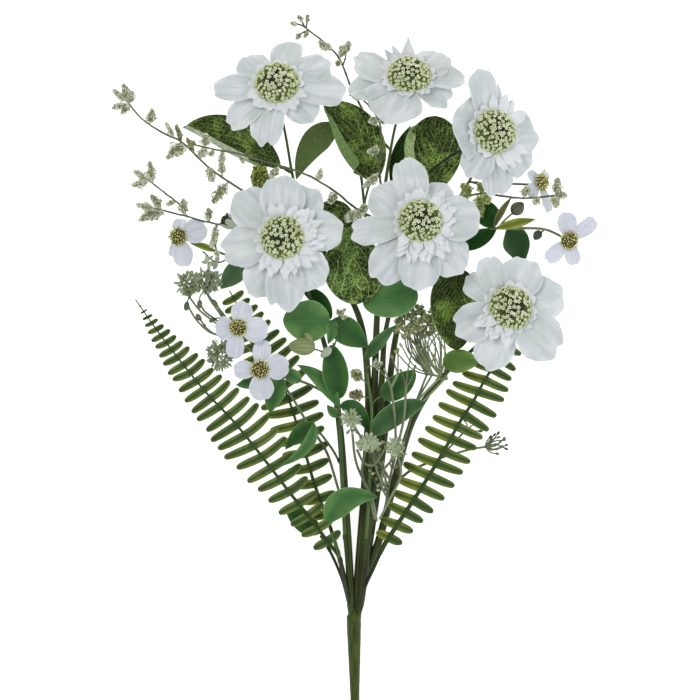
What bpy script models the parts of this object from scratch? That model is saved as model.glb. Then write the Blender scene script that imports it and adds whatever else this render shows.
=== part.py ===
"""A bunch of fabric scabiosa, fern and leafy sprays on wire stems, bound in tape and lying on its back.

Units are metres. +Y runs from the taped handle to the flowers and +Z points up, towards the flowers' faces.
The origin is the flat spot under the binding. A place on the bunch is written as the column and row where
the picture shows it, and its height above the table in millimetres.
"""

import math
import random
from dataclasses import dataclass

import bmesh
import bpy
from mathutils import Matrix, Vector

MM = 0.001
PIXEL = 0.75 * MM
REST_COLUMN, REST_ROW = 354.0, 640.0

BLADE = 0.7 * MM
CLEARANCE = 0.3 * MM
PEG_LENGTH = 7.0 * MM

HANDLE_SIDES = 12
HANDLE_RINGS = ((612, 5.0), (619, 5.7), (629, 5.7), (700, 3.6), (735, 3.3))
HANDLE_TOP_COLUMN, HANDLE_END_COLUMN = 353.6, 355.4
STEM_THICK, STEM_THIN = 2.9 * MM, 1.2 * MM

DOME_RADIUS, DOME_HEIGHT, DOME_LIFT = 16.5 * MM, 12.0 * MM, 2.0 * MM
DOME_RELIEF = 1.0 * MM
RECEPTACLE_RADIUS, RECEPTACLE_TOP, RECEPTACLE_BOTTOM = 10.0 * MM, 1.7 * MM, -2.8 * MM
PETAL_ROOT = 6.0 * MM
PETAL_LEVELS = (-0.8 * MM, -2.2 * MM)
PETAL_SPREAD = 2.2
PETAL_FULLNESS = 1.12
FLORET_COUNT = 12
FLORET_ROOT, FLORET_VALLEY = 8.6 * MM, 19.0 * MM
FLORET_REACH = (25.5 * MM, 29.0 * MM)
FLORET_RISE = (4.5 * MM, 7.0 * MM)
SPOT_LIFT = 5.0 * MM

EYE_RADIUS, EYE_HEIGHT, EYE_LIFT = 7.6 * MM, 6.5 * MM, 1.5 * MM
EYE_DISC_RADIUS, EYE_DISC_HALF = 3.4 * MM, 1.2 * MM

LOBE_SPACING = 1.7 * MM

RIB_HALF, RIB_TIP_HALF, RIB_THICK, LEAFLET_THICK = 1.25 * MM, 0.6 * MM, 2.0 * MM, 0.65 * MM

WHITE = ("white_cloth", (0.86, 0.88, 0.90), 0.75)
PALE_GREEN = ("pale_green_pile", (0.66, 0.72, 0.42), 0.85)
STAMEN = ("yellow_green_pile", (0.52, 0.50, 0.16), 0.85)
STEM_GREEN = ("olive_tape", (0.14, 0.19, 0.06), 0.6)
FERN_GREEN = ("fern_green", (0.16, 0.24, 0.04), 0.55)
LEAF_GREEN = ("leaf_green", (0.12, 0.30, 0.10), 0.55)
VEINED_GREEN = ("veined_green", (0.07, 0.17, 0.03), 0.6)
SAGE = ("sage_fuzz", (0.45, 0.50, 0.34), 0.9)
GREY_GREEN = ("grey_green", (0.22, 0.29, 0.20), 0.75)


@dataclass
class Shape:
    """A closed mesh: its points, and its faces as tuples of point numbers."""

    points: list
    faces: list


@dataclass
class Petal:
    """A petal by the picture: its direction, its reach in columns, how far its tip rises, and its width."""

    angle: float
    reach: float
    rise: float
    width: float


@dataclass
class Bloom:
    """A scabiosa head: its spot, how far it leans and which way, and its outer petals."""

    name: str
    spot: tuple
    lean: float
    toward: float
    petals: tuple


@dataclass
class Leaf:
    """A leaf blade through three places, with its half-width in columns and the kind of its outline."""

    base: tuple
    middle: tuple
    tip: tuple
    half: float
    kind: str = "ovate"
    roll: float = 0.0
    fold: float = 0.12
    broad: bool = False
    touches_table: bool = False


BLOOMS = (
    Bloom("upper_left", (277, 83, 77), 25, 95, (
        Petal(74, 38, -25, 25), Petal(143, 42, -17, 27), Petal(187, 64, 0, 23), Petal(217, 63, 2, 22),
        Petal(262, 65, 4, 26), Petal(310, 52, 8, 27), Petal(350, 69, 1, 28), Petal(22, 58, -6, 25))),
    Bloom("top", (409, 74, 69), 42, 88, (
        Petal(163, 58, 0, 24), Petal(192, 62, 3, 24), Petal(224, 52, 13, 29), Petal(262, 43, 16, 27),
        Petal(327, 48, 8, 24), Petal(355, 57, 0, 22), Petal(35, 45, -12, 27), Petal(91, 34, -16, 10),
        Petal(118, 33, -16, 10), Petal(142, 38, -13, 12))),
    Bloom("upper_right", (495, 132, 76), 25, 25, (
        Petal(104, 64, 2, 22), Petal(82, 49, -4, 12), Petal(60, 38, -9, 10), Petal(357, 46, -22, 28),
        Petal(308, 52, -14, 23), Petal(274, 64, 0, 23), Petal(237, 54, 10, 24), Petal(192, 42, 22, 27),
        Petal(150, 44, 17, 25))),
    Bloom("left", (283, 238, 92), 10, 100, (
        Petal(90, 62, -6, 30), Petal(57, 60, -7, 25), Petal(10, 61, -3, 27), Petal(-51, 62, -3, 27),
        Petal(-87, 73, 0, 26), Petal(-117, 65, -1, 27), Petal(192, 62, -2, 28), Petal(135, 65, -5, 30))),
    Bloom("right", (420, 222, 98), 12, 60, (
        Petal(103, 65, -8, 23), Petal(145, 58, -7, 29), Petal(191, 70, 1, 19), Petal(233, 73, 0, 27),
        Petal(269, 69, 0, 28), Petal(311, 66, -2, 28), Petal(4, 60, -6, 31), Petal(43, 48, -19, 28))),
    Bloom("lower_right", (510, 308, 83), 15, 40, (
        Petal(117, 57, 5, 20), Petal(143, 54, -6, 21), Petal(71, 53, -8, 30), Petal(18, 57, -6, 31),
        Petal(-45, 66, -2, 33), Petal(-111, 65, 0, 27), Petal(202, 60, 0, 26))),
)

SMALL_FLOWERS = (
    Bloom("far_left", (178, 236, 47), 18, 200, (
        Petal(18, 30, 3, 18), Petal(80, 20, -6, 14), Petal(252, 22, -8, 12), Petal(286, 33, 2, 17))),
    Bloom("left", (238, 328, 63), 8, 90, (
        Petal(76, 28, 1, 17), Petal(-7, 31, 1, 19), Petal(262, 33, -2, 17), Petal(184, 23, -3, 18))),
    Bloom("lower_left", (260, 370, 64), 8, 90, (
        Petal(84, 32, -3, 16), Petal(9, 30, 0, 19), Petal(275, 31, 0, 18), Petal(180, 27, 0, 16))),
    Bloom("far_right", (569, 240, 55), 15, 330, (
        Petal(33, 33, -2, 17), Petal(97, 28, 2, 19), Petal(217, 30, 3, 17), Petal(287, 26, -1, 17))),
    Bloom("behind_right", (540, 182, 46), 50, 10, (
        Petal(225, 17, 8, 16), Petal(285, 33, -2, 12), Petal(140, 15, 6, 14), Petal(60, 14, -8, 14))),
)

STEMS = {
    "upper_left": ((357, 622, 6), (358, 580, 9), (364, 500, 20), (368, 430, 28), (368, 380, 33),
                   (360, 320, 36), (335, 270, 38), (307, 222, 42), (294, 182, 45), (286, 138, 47)),
    "top": ((359, 622, 6), (361, 580, 10), (368, 500, 22), (373, 430, 30), (375, 380, 34),
            (377, 320, 37), (381, 260, 38), (384, 200, 38), (389, 160, 42), (397, 120, 46)),
    "upper_right": ((357, 622, 6), (364, 580, 8), (376, 500, 18), (384, 440, 24), (390, 380, 30),
                    (400, 320, 33), (425, 260, 36), (455, 205, 38), (476, 168, 46)),
    "left": ((351, 622, 6), (350, 580, 9), (345, 500, 20), (340, 430, 30), (331, 370, 42),
             (314, 310, 54), (300, 268, 64)),
    "right": ((358, 622, 7), (364, 580, 12), (371, 500, 26), (379, 430, 34), (382, 380, 39),
              (386, 330, 43), (399, 280, 54), (411, 245, 67)),
    "lower_right": ((357, 622, 6), (365, 580, 8), (380, 540, 13), (398, 470, 20), (414, 420, 26),
                    (440, 380, 32), (476, 347, 42), (496, 325, 53)),
}


def place(spot):
    """The point of the bunch at a column, a row and a height in millimetres."""
    column, row, height = spot
    return Vector(((column - REST_COLUMN) * PIXEL, (REST_ROW - row) * PIXEL, height * MM))


def smooth_route(points, steps):
    """A smooth curve through the given points, with a number of steps between each two."""
    ends = [points[0] * 2 - points[1], *points, points[-1] * 2 - points[-2]]
    route = []
    for before, start, end, after in zip(ends, ends[1:], ends[2:], ends[3:]):
        for step in range(steps):
            t = step / steps
            route.append(
                (start * 2 + (end - before) * t
                 + (before * 2 - start * 5 + end * 4 - after) * t ** 2
                 + (start * 3 - end * 3 + after - before) * t ** 3) / 2
            )
    route.append(points[-1].copy())
    return route


def crossing(route, row):
    """The point where a route crosses a row of the picture."""
    level = (REST_ROW - row) * PIXEL
    for start, end in zip(route, route[1:]):
        if (start.y - level) * (end.y - level) <= 0 and start.y != end.y:
            return start.lerp(end, (level - start.y) / (end.y - start.y))
    return min(route, key=lambda point: abs(point.y - level)).copy()


def cut_route(route, length):
    """The stretch of a route up to a length along it, and the stretch after it, a clearance further on."""
    walked = 0.0
    for i, (start, end) in enumerate(zip(route, route[1:])):
        step = (end - start).length
        if walked + step > length + CLEARANCE:
            first = start.lerp(end, (length - walked) / step) if length > walked else start.copy()
            second = start.lerp(end, (length + CLEARANCE - walked) / step)
            return route[:i + 1] + [first] if length > walked else route[:i + 1], [second] + route[i + 1:]
        walked += step
    raise ValueError("the route is shorter than the length to cut")


def walk(route, distance):
    """The point at a distance along a route, and the route's direction there."""
    for start, end in zip(route, route[1:]):
        step = end - start
        if distance <= step.length or end is route[-1]:
            return start + step.normalized() * distance, step.normalized()
        distance -= step.length
    raise ValueError("the route has no stretch to walk along")


def nearest(route, spot):
    """The distance along a route of its point nearest to a spot."""
    best, found, walked = math.inf, 0.0, 0.0
    for start, end in zip(route, route[1:]):
        step = end - start
        share = min(max((spot - start).dot(step) / step.length_squared, 0.0), 1.0)
        away = (start + step * share - spot).length
        if away < best:
            best, found = away, walked + share * step.length
        walked += step.length
    return found


def taper(start, end, count):
    """Radii that fall evenly from the start of a tube to its end."""
    return [start + (end - start) * i / (count - 1) for i in range(count)]


def tube(route, radii, sides):
    """A closed tube along a route, with one radius for each of its points."""
    tangents = [(b - a).normalized() for a, b in zip(route, route[1:])]
    tangents = [tangents[0]] + [(a + b).normalized() for a, b in zip(tangents, tangents[1:])] + [tangents[-1]]
    side = Vector((0, 0, 1)).cross(tangents[0])
    side = side if side.length > 0.01 else Vector((1, 0, 0))
    points = []
    for centre, tangent, radius in zip(route, tangents, radii):
        side = (side - tangent * side.dot(tangent)).normalized()
        other = tangent.cross(side)
        for k in range(sides):
            turn = math.tau * k / sides
            points.append(centre + (side * math.cos(turn) + other * math.sin(turn)) * radius)
    faces = [tuple(reversed(range(sides)))]
    for ring in range(len(route) - 1):
        low = ring * sides
        for k in range(sides):
            after = (k + 1) % sides
            faces.append((low + k, low + after, low + sides + after, low + sides + k))
    faces.append(tuple(range(len(points) - sides, len(points))))
    return Shape(points, faces)


def spindle(start, end, radius, sides=4):
    """A slim bud or fuzzy lobe: two pyramids on one ring, widest a little short of its middle."""
    axis = (end - start).normalized()
    side = axis.orthogonal().normalized()
    other = axis.cross(side)
    waist = start.lerp(end, 0.45)
    turns = [math.tau * k / sides for k in range(sides)]
    ring = [waist + (side * math.cos(turn) + other * math.sin(turn)) * radius for turn in turns]
    faces = [(sides, (k + 1) % sides, k) for k in range(sides)]
    faces += [(sides + 1, k, (k + 1) % sides) for k in range(sides)]
    return Shape(ring + [start.copy(), end.copy()], faces)


def zip_rows(lower, upper):
    """Triangles between two rows of point numbers, each running from left to right."""
    triangles = []
    i = j = 0
    while i < len(lower) - 1 or j < len(upper) - 1:
        next_lower = (i + 1) / (len(lower) - 1) if i < len(lower) - 1 else 2.0
        next_upper = (j + 1) / (len(upper) - 1) if j < len(upper) - 1 else 2.0
        if next_lower <= next_upper:
            triangles.append((lower[i], lower[i + 1], upper[j]))
            i += 1
        else:
            triangles.append((lower[i], upper[j + 1], upper[j]))
            j += 1
    return triangles


def blade(points, triangles, thicknesses):
    """A thin closed solid on a surface, split into the same triangles on both faces."""
    normals = [Vector() for _ in points]
    edges = set()
    for triangle in triangles:
        a, b, c = (points[i] for i in triangle)
        for i in triangle:
            normals[i] += (b - a).cross(c - a)
        edges.update(zip(triangle, triangle[1:] + triangle[:1]))
    count = len(points)
    lift = [normal.normalized() * thick / 2 for normal, thick in zip(normals, thicknesses)]
    solid = [point + step for point, step in zip(points, lift)]
    solid += [point - step for point, step in zip(points, lift)]
    faces = list(triangles) + [(c + count, b + count, a + count) for a, b, c in triangles]
    for a, b in edges:
        if (b, a) not in edges:
            faces += [(b, a, a + count), (b, a + count, b + count)]
    return Shape(solid, faces)


@dataclass
class Bow:
    """A curve from a start to an end that is drawn towards a third point between them."""

    start: Vector
    pull: Vector
    end: Vector

    def point(self, t):
        return self.start * (1 - t) ** 2 + self.pull * 2 * t * (1 - t) + self.end * t ** 2

    def tangent(self, t):
        return ((self.pull - self.start) * (1 - t) + (self.end - self.pull) * t).normalized()


def petal_outline(along):
    """A petal's half-width along its length: narrow at the root, widest past the middle, blunt at the end."""
    if along < 0.7:
        return 0.2 + 0.8 * math.sin(math.pi / 2 * along / 0.7) ** 0.9
    return math.sqrt(1 - 0.62 * ((along - 0.7) / 0.3) ** 2)


def leaf_outline(kind, along):
    """A leaf's half-width along its length."""
    powers = {"ovate": (0.78, 0.8), "round": (0.85, 0.55), "blunt": (1.25, 0.5), "narrow": (0.85, 0.9)}
    shift, bulge = powers[kind]
    return max(math.sin(math.pi * along ** shift), 0.0) ** bulge


def blade_surface(bow, up, half, rows, outline, fold=0.0, roll=0.0, pull=0.0):
    """The points and triangles of a blade along a bow, from rows of (place along it, points across)."""
    points, lines = [], []
    for along, count in rows:
        width = half * outline(along)
        line = []
        for k in range(count):
            across = 2 * k / (count - 1) - 1 if count > 1 else 0.0
            reach = along - pull * across ** 2 * along ** 3
            tangent = bow.tangent(reach)
            flat = tangent.cross(up).normalized()
            side = Matrix.Rotation(roll, 3, tangent) @ flat
            normal = side.cross(tangent)
            line.append(len(points))
            points.append(bow.point(reach) + side * across * width + normal * fold * abs(across) * width)
        lines.append(line)
    triangles = [t for lower, upper in zip(lines, lines[1:]) for t in zip_rows(lower, upper)]
    return points, triangles


def leaf_bow(leaf):
    """The bow through a leaf's base, middle and tip."""
    base, middle, tip = place(leaf.base), place(leaf.middle), place(leaf.tip)
    return Bow(base, middle * 2 - (base + tip) / 2, tip)


def leaf_surface(leaf):
    """The surface of a leaf, and where it lies on the table its tip is let down until it touches."""
    if leaf.kind == "blunt":
        rows = ((0.0, 1), (0.14, 3), (0.38, 5), (0.66, 5), (0.88, 3), (0.99, 3))
    elif leaf.broad:
        rows = ((0.0, 1), (0.12, 3), (0.35, 5), (0.62, 5), (0.86, 3), (1.0, 1))
    elif leaf.half > 9:
        rows = ((0.0, 1), (0.16, 3), (0.45, 3), (0.76, 3), (1.0, 1))
    else:
        rows = ((0.0, 1), (0.3, 3), (0.68, 3), (1.0, 1))
    bow = leaf_bow(leaf)
    points, triangles = blade_surface(
        bow, Vector((0, 0, 1)), leaf.half * PIXEL, rows, lambda along: leaf_outline(leaf.kind, along),
        leaf.fold, math.radians(leaf.roll))
    if leaf.touches_table:
        length = (bow.end - bow.start).length
        shares = [((point - bow.start).length / length) for point in points]
        fall = min((point.z - BLADE / 2) / share for point, share in zip(points, shares) if share > 0.3)
        for point, share in zip(points, shares):
            point.z -= fall * share
    return points, triangles


def leaf_shape(leaf):
    points, triangles = leaf_surface(leaf)
    return blade(points, triangles, [BLADE] * len(points))


def folded_edge(leaf, side, width, stretch=(0.14, 0.9)):
    """The strip of a leaf's edge that has curled up and over its face, showing its pale back."""
    bow = leaf_bow(leaf)
    points, lower, upper = [], [], []
    for k in range(4):
        share = k / 3
        along = stretch[0] + (stretch[1] - stretch[0]) * share
        tangent = bow.tangent(along)
        out = (Matrix.Rotation(math.radians(leaf.roll), 3, tangent) @ tangent.cross(Vector((0, 0, 1))).normalized())
        normal = out.cross(tangent)
        out *= side
        edge = leaf.half * PIXEL * leaf_outline(leaf.kind, along)
        root = bow.point(along) + out * edge * 0.94 + normal * leaf.fold * edge * 0.94
        curl = width * (0.35 + 0.65 * math.sin(math.pi * share))
        lower.append(len(points))
        points.append(root)
        upper.append(len(points))
        points.append(root + (normal * 0.62 - out * 0.78) * curl)
    triangles = zip_rows(lower, upper)
    return blade(points, triangles, [BLADE] * len(points))


def petiole(places, radius=0.9 * MM):
    """A leaf's thin stalk through a few places."""
    return tube([place(spot) for spot in places], [radius] * len(places), 4 if radius > 0.8 * MM else 3)


def add_object(name, shape, collection):
    mesh = bpy.data.meshes.new(name)
    mesh.from_pydata([tuple(point) for point in shape.points], [], shape.faces)
    form = bmesh.new()
    form.from_mesh(mesh)
    bmesh.ops.triangulate(form, faces=form.faces)
    bmesh.ops.recalc_face_normals(form, faces=form.faces)
    form.to_mesh(mesh)
    form.free()
    obj = bpy.data.objects.new(name, mesh)
    collection.objects.link(obj)
    return obj


def finish(name, look):
    """The node's own material."""
    kind, colour, roughness = look
    material = bpy.data.materials.new(f"{name}_{kind}")
    material.use_nodes = True
    shader = material.node_tree.nodes["Principled BSDF"]
    shader.inputs["Base Color"].default_value = (*colour, 1.0)
    shader.inputs["Roughness"].default_value = roughness
    shader.inputs["Metallic"].default_value = 0.0
    return material


def fuse(name, shapes, look, origin):
    """One solid of overlapping shapes, with its origin where it is attached."""
    scene = bpy.context.scene
    body = add_object(name, shapes[0], scene.collection)
    if len(shapes) > 1:
        helpers = bpy.data.collections.new(f"{name}_helpers")
        scene.collection.children.link(helpers)
        for i, shape in enumerate(shapes[1:]):
            add_object(f"{name}_helper_{i}", shape, helpers)
        union = body.modifiers.new("Join", "BOOLEAN")
        union.operation = "UNION"
        union.operand_type = "COLLECTION"
        union.collection = helpers
        union.solver = "EXACT"
        with bpy.context.temp_override(object=body, active_object=body):
            bpy.ops.object.modifier_apply(modifier=union.name)
        for helper in list(helpers.objects):
            bpy.data.objects.remove(helper)
        bpy.data.collections.remove(helpers)
    body.data.transform(Matrix.Translation(-origin))
    body.location = origin
    body.data.materials.append(finish(name, look))
    body.data.shade_smooth()
    body.data.set_sharp_from_angle(angle=math.radians(40))
    body.parent = bpy.data.objects["bunch"]
    return body


def facing(bloom):
    """The direction in which a bloom's face points."""
    lean, toward = math.radians(bloom.lean), math.radians(bloom.toward)
    return Vector((math.sin(lean) * math.cos(toward), math.sin(lean) * math.sin(toward), math.cos(lean)))


def bloom_centre(bloom, lift):
    """The middle of a bloom's base: the picture shows its dome, which stands a little along its facing."""
    normal = facing(bloom)
    return place(bloom.spot) - Vector((normal.x, normal.y, 0)) * lift


def petal_shape(centre, middle, normal, petal, root, level, rows):
    """A petal that leaves its flower square to its facing, and bends to the height of its tip.

    Its reach is measured from the middle of the flower's face, as the picture shows it.
    """
    angle = math.radians(petal.angle)
    tip = Vector((math.cos(angle), math.sin(angle), 0)) * petal.reach * PIXEL + Vector((0, 0, petal.rise * MM))
    tip += Vector((middle.x - centre.x, middle.y - centre.y, 0))
    out = (tip - normal * tip.dot(normal)).normalized()
    start = centre + out * root + normal * level
    pull = centre + out * tip.length * 0.5 + normal * level * 1.5
    bow = Bow(start, pull, centre + tip + normal * level * PETAL_SPREAD)
    points, triangles = blade_surface(
        bow, normal, petal.width * PETAL_FULLNESS * MM / 2, rows, petal_outline, fold=0.08, pull=0.12)
    return blade(points, triangles, [BLADE] * len(points))


def collar_shape(centre, normal, rng):
    """The ring of pointed florets round the dome, as one blade with its teeth cut down to the dome."""
    side = normal.orthogonal().normalized()
    other = normal.cross(side)

    def at(turn, reach, rise):
        return centre + (side * math.cos(turn) + other * math.sin(turn)) * reach + normal * rise

    half_count = FLORET_COUNT // 2
    points = [at(math.tau * i / half_count, FLORET_ROOT, 0.2 * MM) for i in range(half_count)]
    points += [at(math.tau * i / FLORET_COUNT, FLORET_VALLEY, 1.3 * MM) for i in range(FLORET_COUNT)]
    triangles = []
    for i in range(FLORET_COUNT):
        turn = math.tau * (i + 0.5 + rng.uniform(-0.15, 0.15)) / FLORET_COUNT
        points.append(at(turn, rng.uniform(*FLORET_REACH), rng.uniform(*FLORET_RISE)))
        near, far = half_count + i, half_count + (i + 1) % FLORET_COUNT
        inner = (i + 1) // 2 % half_count
        triangles += [(near, len(points) - 1, far), (inner, near, far)]
        if i % 2:
            triangles.append((i // 2, near, inner))
    return blade(points, triangles, [BLADE] * len(points))


def dome(centre, normal, radius, height, lift, around, rings, relief):
    """A rounded head of florets, as a dome on which every other point stands out as a bump."""
    side = normal.orthogonal().normalized()
    other = normal.cross(side)
    points = []
    for ring in range(rings + 1):
        slope = math.pi / 2 * max(ring - 0.6, 0) / rings
        for k in range(around):
            turn = math.tau * k / around
            bump = 0.0 if ring == 0 else relief * (1 if (k + ring) % 2 else -1)
            across = (radius + bump) * math.cos(slope) if ring else radius * 0.94
            up = lift + (0.0 if ring == 0 else (height + bump) * math.sin(slope) + 0.8 * MM)
            points.append(centre + (side * math.cos(turn) + other * math.sin(turn)) * across + normal * up)
    points.append(centre + normal * (lift + height + 0.8 * MM))
    faces = [tuple(reversed(range(around)))]
    for ring in range(rings):
        low, high = ring * around, (ring + 1) * around
        for k in range(around):
            after = (k + 1) % around
            if (k + ring) % 2:
                faces += [(low + k, low + after, high + k), (high + k, low + after, high + after)]
            else:
                faces += [(low + k, low + after, high + after), (high + k, low + k, high + after)]
    last = rings * around
    faces += [(last + k, last + (k + 1) % around, len(points) - 1) for k in range(around)]
    return Shape(points, faces)


def make_bloom(bloom, rng):
    """A scabiosa head: outer petals in two levels, a ring of florets on the receptacle, and its dome."""
    normal = facing(bloom)
    centre = bloom_centre(bloom, SPOT_LIFT)
    rows = ((0.0, 1), (0.38, 3), (0.76, 3), (1.0, 3))
    ends = [centre + normal * RECEPTACLE_BOTTOM, centre + normal * RECEPTACLE_TOP]
    shapes = [tube(ends, [RECEPTACLE_RADIUS * 0.8, RECEPTACLE_RADIUS], 8)]
    for i, petal in enumerate(bloom.petals):
        shapes.append(petal_shape(centre, place(bloom.spot), normal, petal, PETAL_ROOT, PETAL_LEVELS[i % 2], rows))
    shapes.append(collar_shape(centre, normal, rng))
    fuse(f"bloom_{bloom.name}_petals", shapes, WHITE, centre)
    head = dome(centre, normal, DOME_RADIUS, DOME_HEIGHT, DOME_LIFT, 14, 4, DOME_RELIEF)
    fuse(f"bloom_{bloom.name}_centre", [head], PALE_GREEN, centre)


def make_small_flower(flower):
    """A small flower of four rounded petals round a domed eye."""
    normal = facing(flower)
    centre = place(flower.spot)
    rows = ((0.0, 1), (0.5, 3), (0.97, 3))
    ends = [centre - normal * EYE_DISC_HALF, centre + normal * EYE_DISC_HALF]
    shapes = [tube(ends, [EYE_DISC_RADIUS, EYE_DISC_RADIUS], 6)]
    for i, petal in enumerate(flower.petals):
        level = (-0.3 * MM, 0.3 * MM)[i % 2]
        shapes.append(petal_shape(centre, centre, normal, petal, 1.5 * MM, level, rows))
    fuse(f"small_flower_{flower.name}_petals", shapes, WHITE, centre)
    eye = dome(centre, normal, EYE_RADIUS, EYE_HEIGHT, EYE_LIFT, 8, 2, 0.8 * MM)
    fuse(f"small_flower_{flower.name}_eye", [eye], STAMEN, centre)


def neck(flower, lift, depth, reach):
    """The last points of the stem that carries a flower, from behind it to its seat."""
    normal = facing(flower)
    centre = bloom_centre(flower, lift)
    return [centre - normal * reach, centre - normal * (depth + reach) / 2, centre - normal * depth]


class Stems:
    """The taped handle with the wire stems of the blooms, and the pegs on which the rest is pushed."""

    def __init__(self):
        self.shapes = []
        self.routes = {}

    def add_handle(self):
        """A taped bundle with twelve flats, one of them down, all along on the table."""
        points = []
        first, last = HANDLE_RINGS[0][0], HANDLE_RINGS[-1][0]
        for row, flat in HANDLE_RINGS:
            share = (row - first) / (last - first)
            column = HANDLE_TOP_COLUMN + (HANDLE_END_COLUMN - HANDLE_TOP_COLUMN) * share
            centre = place((column, row, flat))
            corner = flat * MM / math.cos(math.pi / HANDLE_SIDES)
            for k in range(HANDLE_SIDES):
                turn = math.tau * (k + 0.5) / HANDLE_SIDES
                points.append(centre + Vector((math.cos(turn) * corner, 0, math.sin(turn) * corner)))
        faces = [tuple(range(HANDLE_SIDES))]
        for ring in range(len(HANDLE_RINGS) - 1):
            low = ring * HANDLE_SIDES
            for k in range(HANDLE_SIDES):
                after = (k + 1) % HANDLE_SIDES
                faces.append((low + k, low + HANDLE_SIDES + k, low + HANDLE_SIDES + after, low + after))
        faces.append(tuple(reversed(range(len(points) - HANDLE_SIDES, len(points)))))
        self.shapes.append(Shape(points, faces))

    def add_bloom_stem(self, bloom):
        """A wire stem from the handle, with the green cup that holds its bloom."""
        depth = -RECEPTACLE_BOTTOM + CLEARANCE
        normal = facing(bloom)
        end = neck(bloom, SPOT_LIFT, depth, 22 * MM)
        route = [place(spot) for spot in STEMS[bloom.name]] + end[:2]
        self.routes[bloom.name] = route
        self.shapes.append(tube(route, taper(STEM_THICK, STEM_THIN, len(route)), 5))
        cup = [end[2] - normal * step * MM for step in (10.5, 5.0, 0.0)]
        self.shapes.append(tube(cup, [STEM_THIN * 1.1, 3.6 * MM, 5.4 * MM], 6))

    def add_peg(self, stem, row, points, radius, length=PEG_LENGTH):
        """A side peg on a stem towards the given points. What is left of the route carries the piece on it."""
        return self.add_shoot([crossing(self.routes[stem], row)] + points, radius, length)

    def add_shoot(self, points, radius, length):
        """A shoot of the bundle along a route, up to a length. It returns the rest of the route."""
        first, rest = cut_route(points, length)
        self.shapes.append(tube(first, [radius] * len(first), 4))
        return rest

    def build(self):
        fuse("taped_stems", self.shapes, STEM_GREEN, Vector((0, 0, 0)))


def spots(*entries):
    return [place(entry) for entry in entries]


def make_frond(name, stems, shoot, route, shoot_length, pairs, reach, bare, narrowing):
    """A fern frond as one arched blade along its rib, with the leaflets cut to the rib on both sides.

    They shorten towards its tip over the last share of it that is given as narrowing.
    """
    rest = stems.add_shoot(smooth_route(spots(*shoot, *route), 2), 1.3 * MM, shoot_length)
    total = nearest(rest, rest[-1])

    def spread(share):
        return bare + (total - bare) * share * (1.3 - 0.3 * share) * 0.985

    stations = [0.0, bare * 0.5]
    for i in range(pairs):
        stations += [spread((i + 0.14) / pairs), spread((i + 0.82) / pairs)]
    points, thicknesses, triangles, ribs = [], [], [], []
    for distance in stations:
        centre, tangent = walk(rest, distance)
        side = tangent.cross(Vector((0, 0, 1))).normalized()
        half = RIB_HALF + (RIB_TIP_HALF - RIB_HALF) * distance / total
        ribs.append((len(points), len(points) + 1, len(points) + 2))
        points += [centre - side * half, centre, centre + side * half]
        thicknesses += [LEAFLET_THICK, RIB_THICK * (1 - 0.5 * distance / total), LEAFLET_THICK]
    for lower, upper in zip(ribs, ribs[1:]):
        triangles += zip_rows(lower, upper)
    triangles += [(ribs[-1][0], ribs[-1][1], len(points)), (ribs[-1][1], ribs[-1][2], len(points))]
    points.append(rest[-1].copy())
    thicknesses.append(LEAFLET_THICK)
    for i in range(pairs):
        share = i / (pairs - 1)
        lower, upper = ribs[2 + 2 * i], ribs[3 + 2 * i]
        length = reach * min(1.0, 0.5 + 1.6 * share, 0.15 + 0.85 * (1 - share) / narrowing) * PIXEL
        tangent = (points[upper[1]] - points[lower[1]]).normalized()
        side = tangent.cross(Vector((0, 0, 1))).normalized()
        for hand, start, end in ((1, lower[2], upper[2]), (-1, lower[0], upper[0])):
            out = side * hand * math.cos(math.radians(18)) + tangent * math.sin(math.radians(18))
            droop = Vector((0, 0, -0.12 * length))
            middle = (points[start] + points[end]) / 2
            corner = len(points)
            points.append(points[start].lerp(middle, 0.2) + out * length * 0.9 + droop)
            points.append(points[end].lerp(middle, 0.4) + out * length + droop * 1.2)
            thicknesses += [LEAFLET_THICK] * 2
            if hand > 0:
                triangles += [(start, corner, corner + 1), (start, corner + 1, end)]
            else:
                triangles += [(end, corner + 1, corner), (end, corner, start)]
    fuse(name, [blade(points, triangles, thicknesses)], FERN_GREEN, rest[0].copy())


def make_ferns(stems):
    make_frond(
        "fern_left_front", stems, ((351, 615, 6), (346, 590, 10), (341, 570, 13)),
        ((338, 557, 16), (327, 543, 20), (315, 526, 24), (292, 497, 30), (263, 459, 35), (234, 423, 36),
         (201, 388, 31), (161, 338, 20), (133, 299, 9)),
        42 * MM, 26, 28, 14 * MM, 0.6)
    make_frond(
        "fern_left_back", stems, ((352, 615, 5), (346, 585, 8), (340, 562, 11)),
        ((336, 548, 13), (327, 520, 14), (315, 488, 15), (302, 445, 15), (284, 390, 13), (250, 330, 9),
         (228, 290, 5)),
        48 * MM, 17, 26, 26 * MM, 0.5)
    make_frond(
        "fern_right", stems, ((357, 615, 6), (365, 590, 12), (374, 570, 17)),
        ((384, 548, 20), (394, 532, 23), (409, 509, 26), (427, 481, 28), (445, 451, 28), (461, 422, 28),
         (474, 402, 28), (486, 380, 27), (500, 358, 26), (512, 338, 24)),
        52 * MM, 16, 28, 8 * MM, 0.25)


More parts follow.
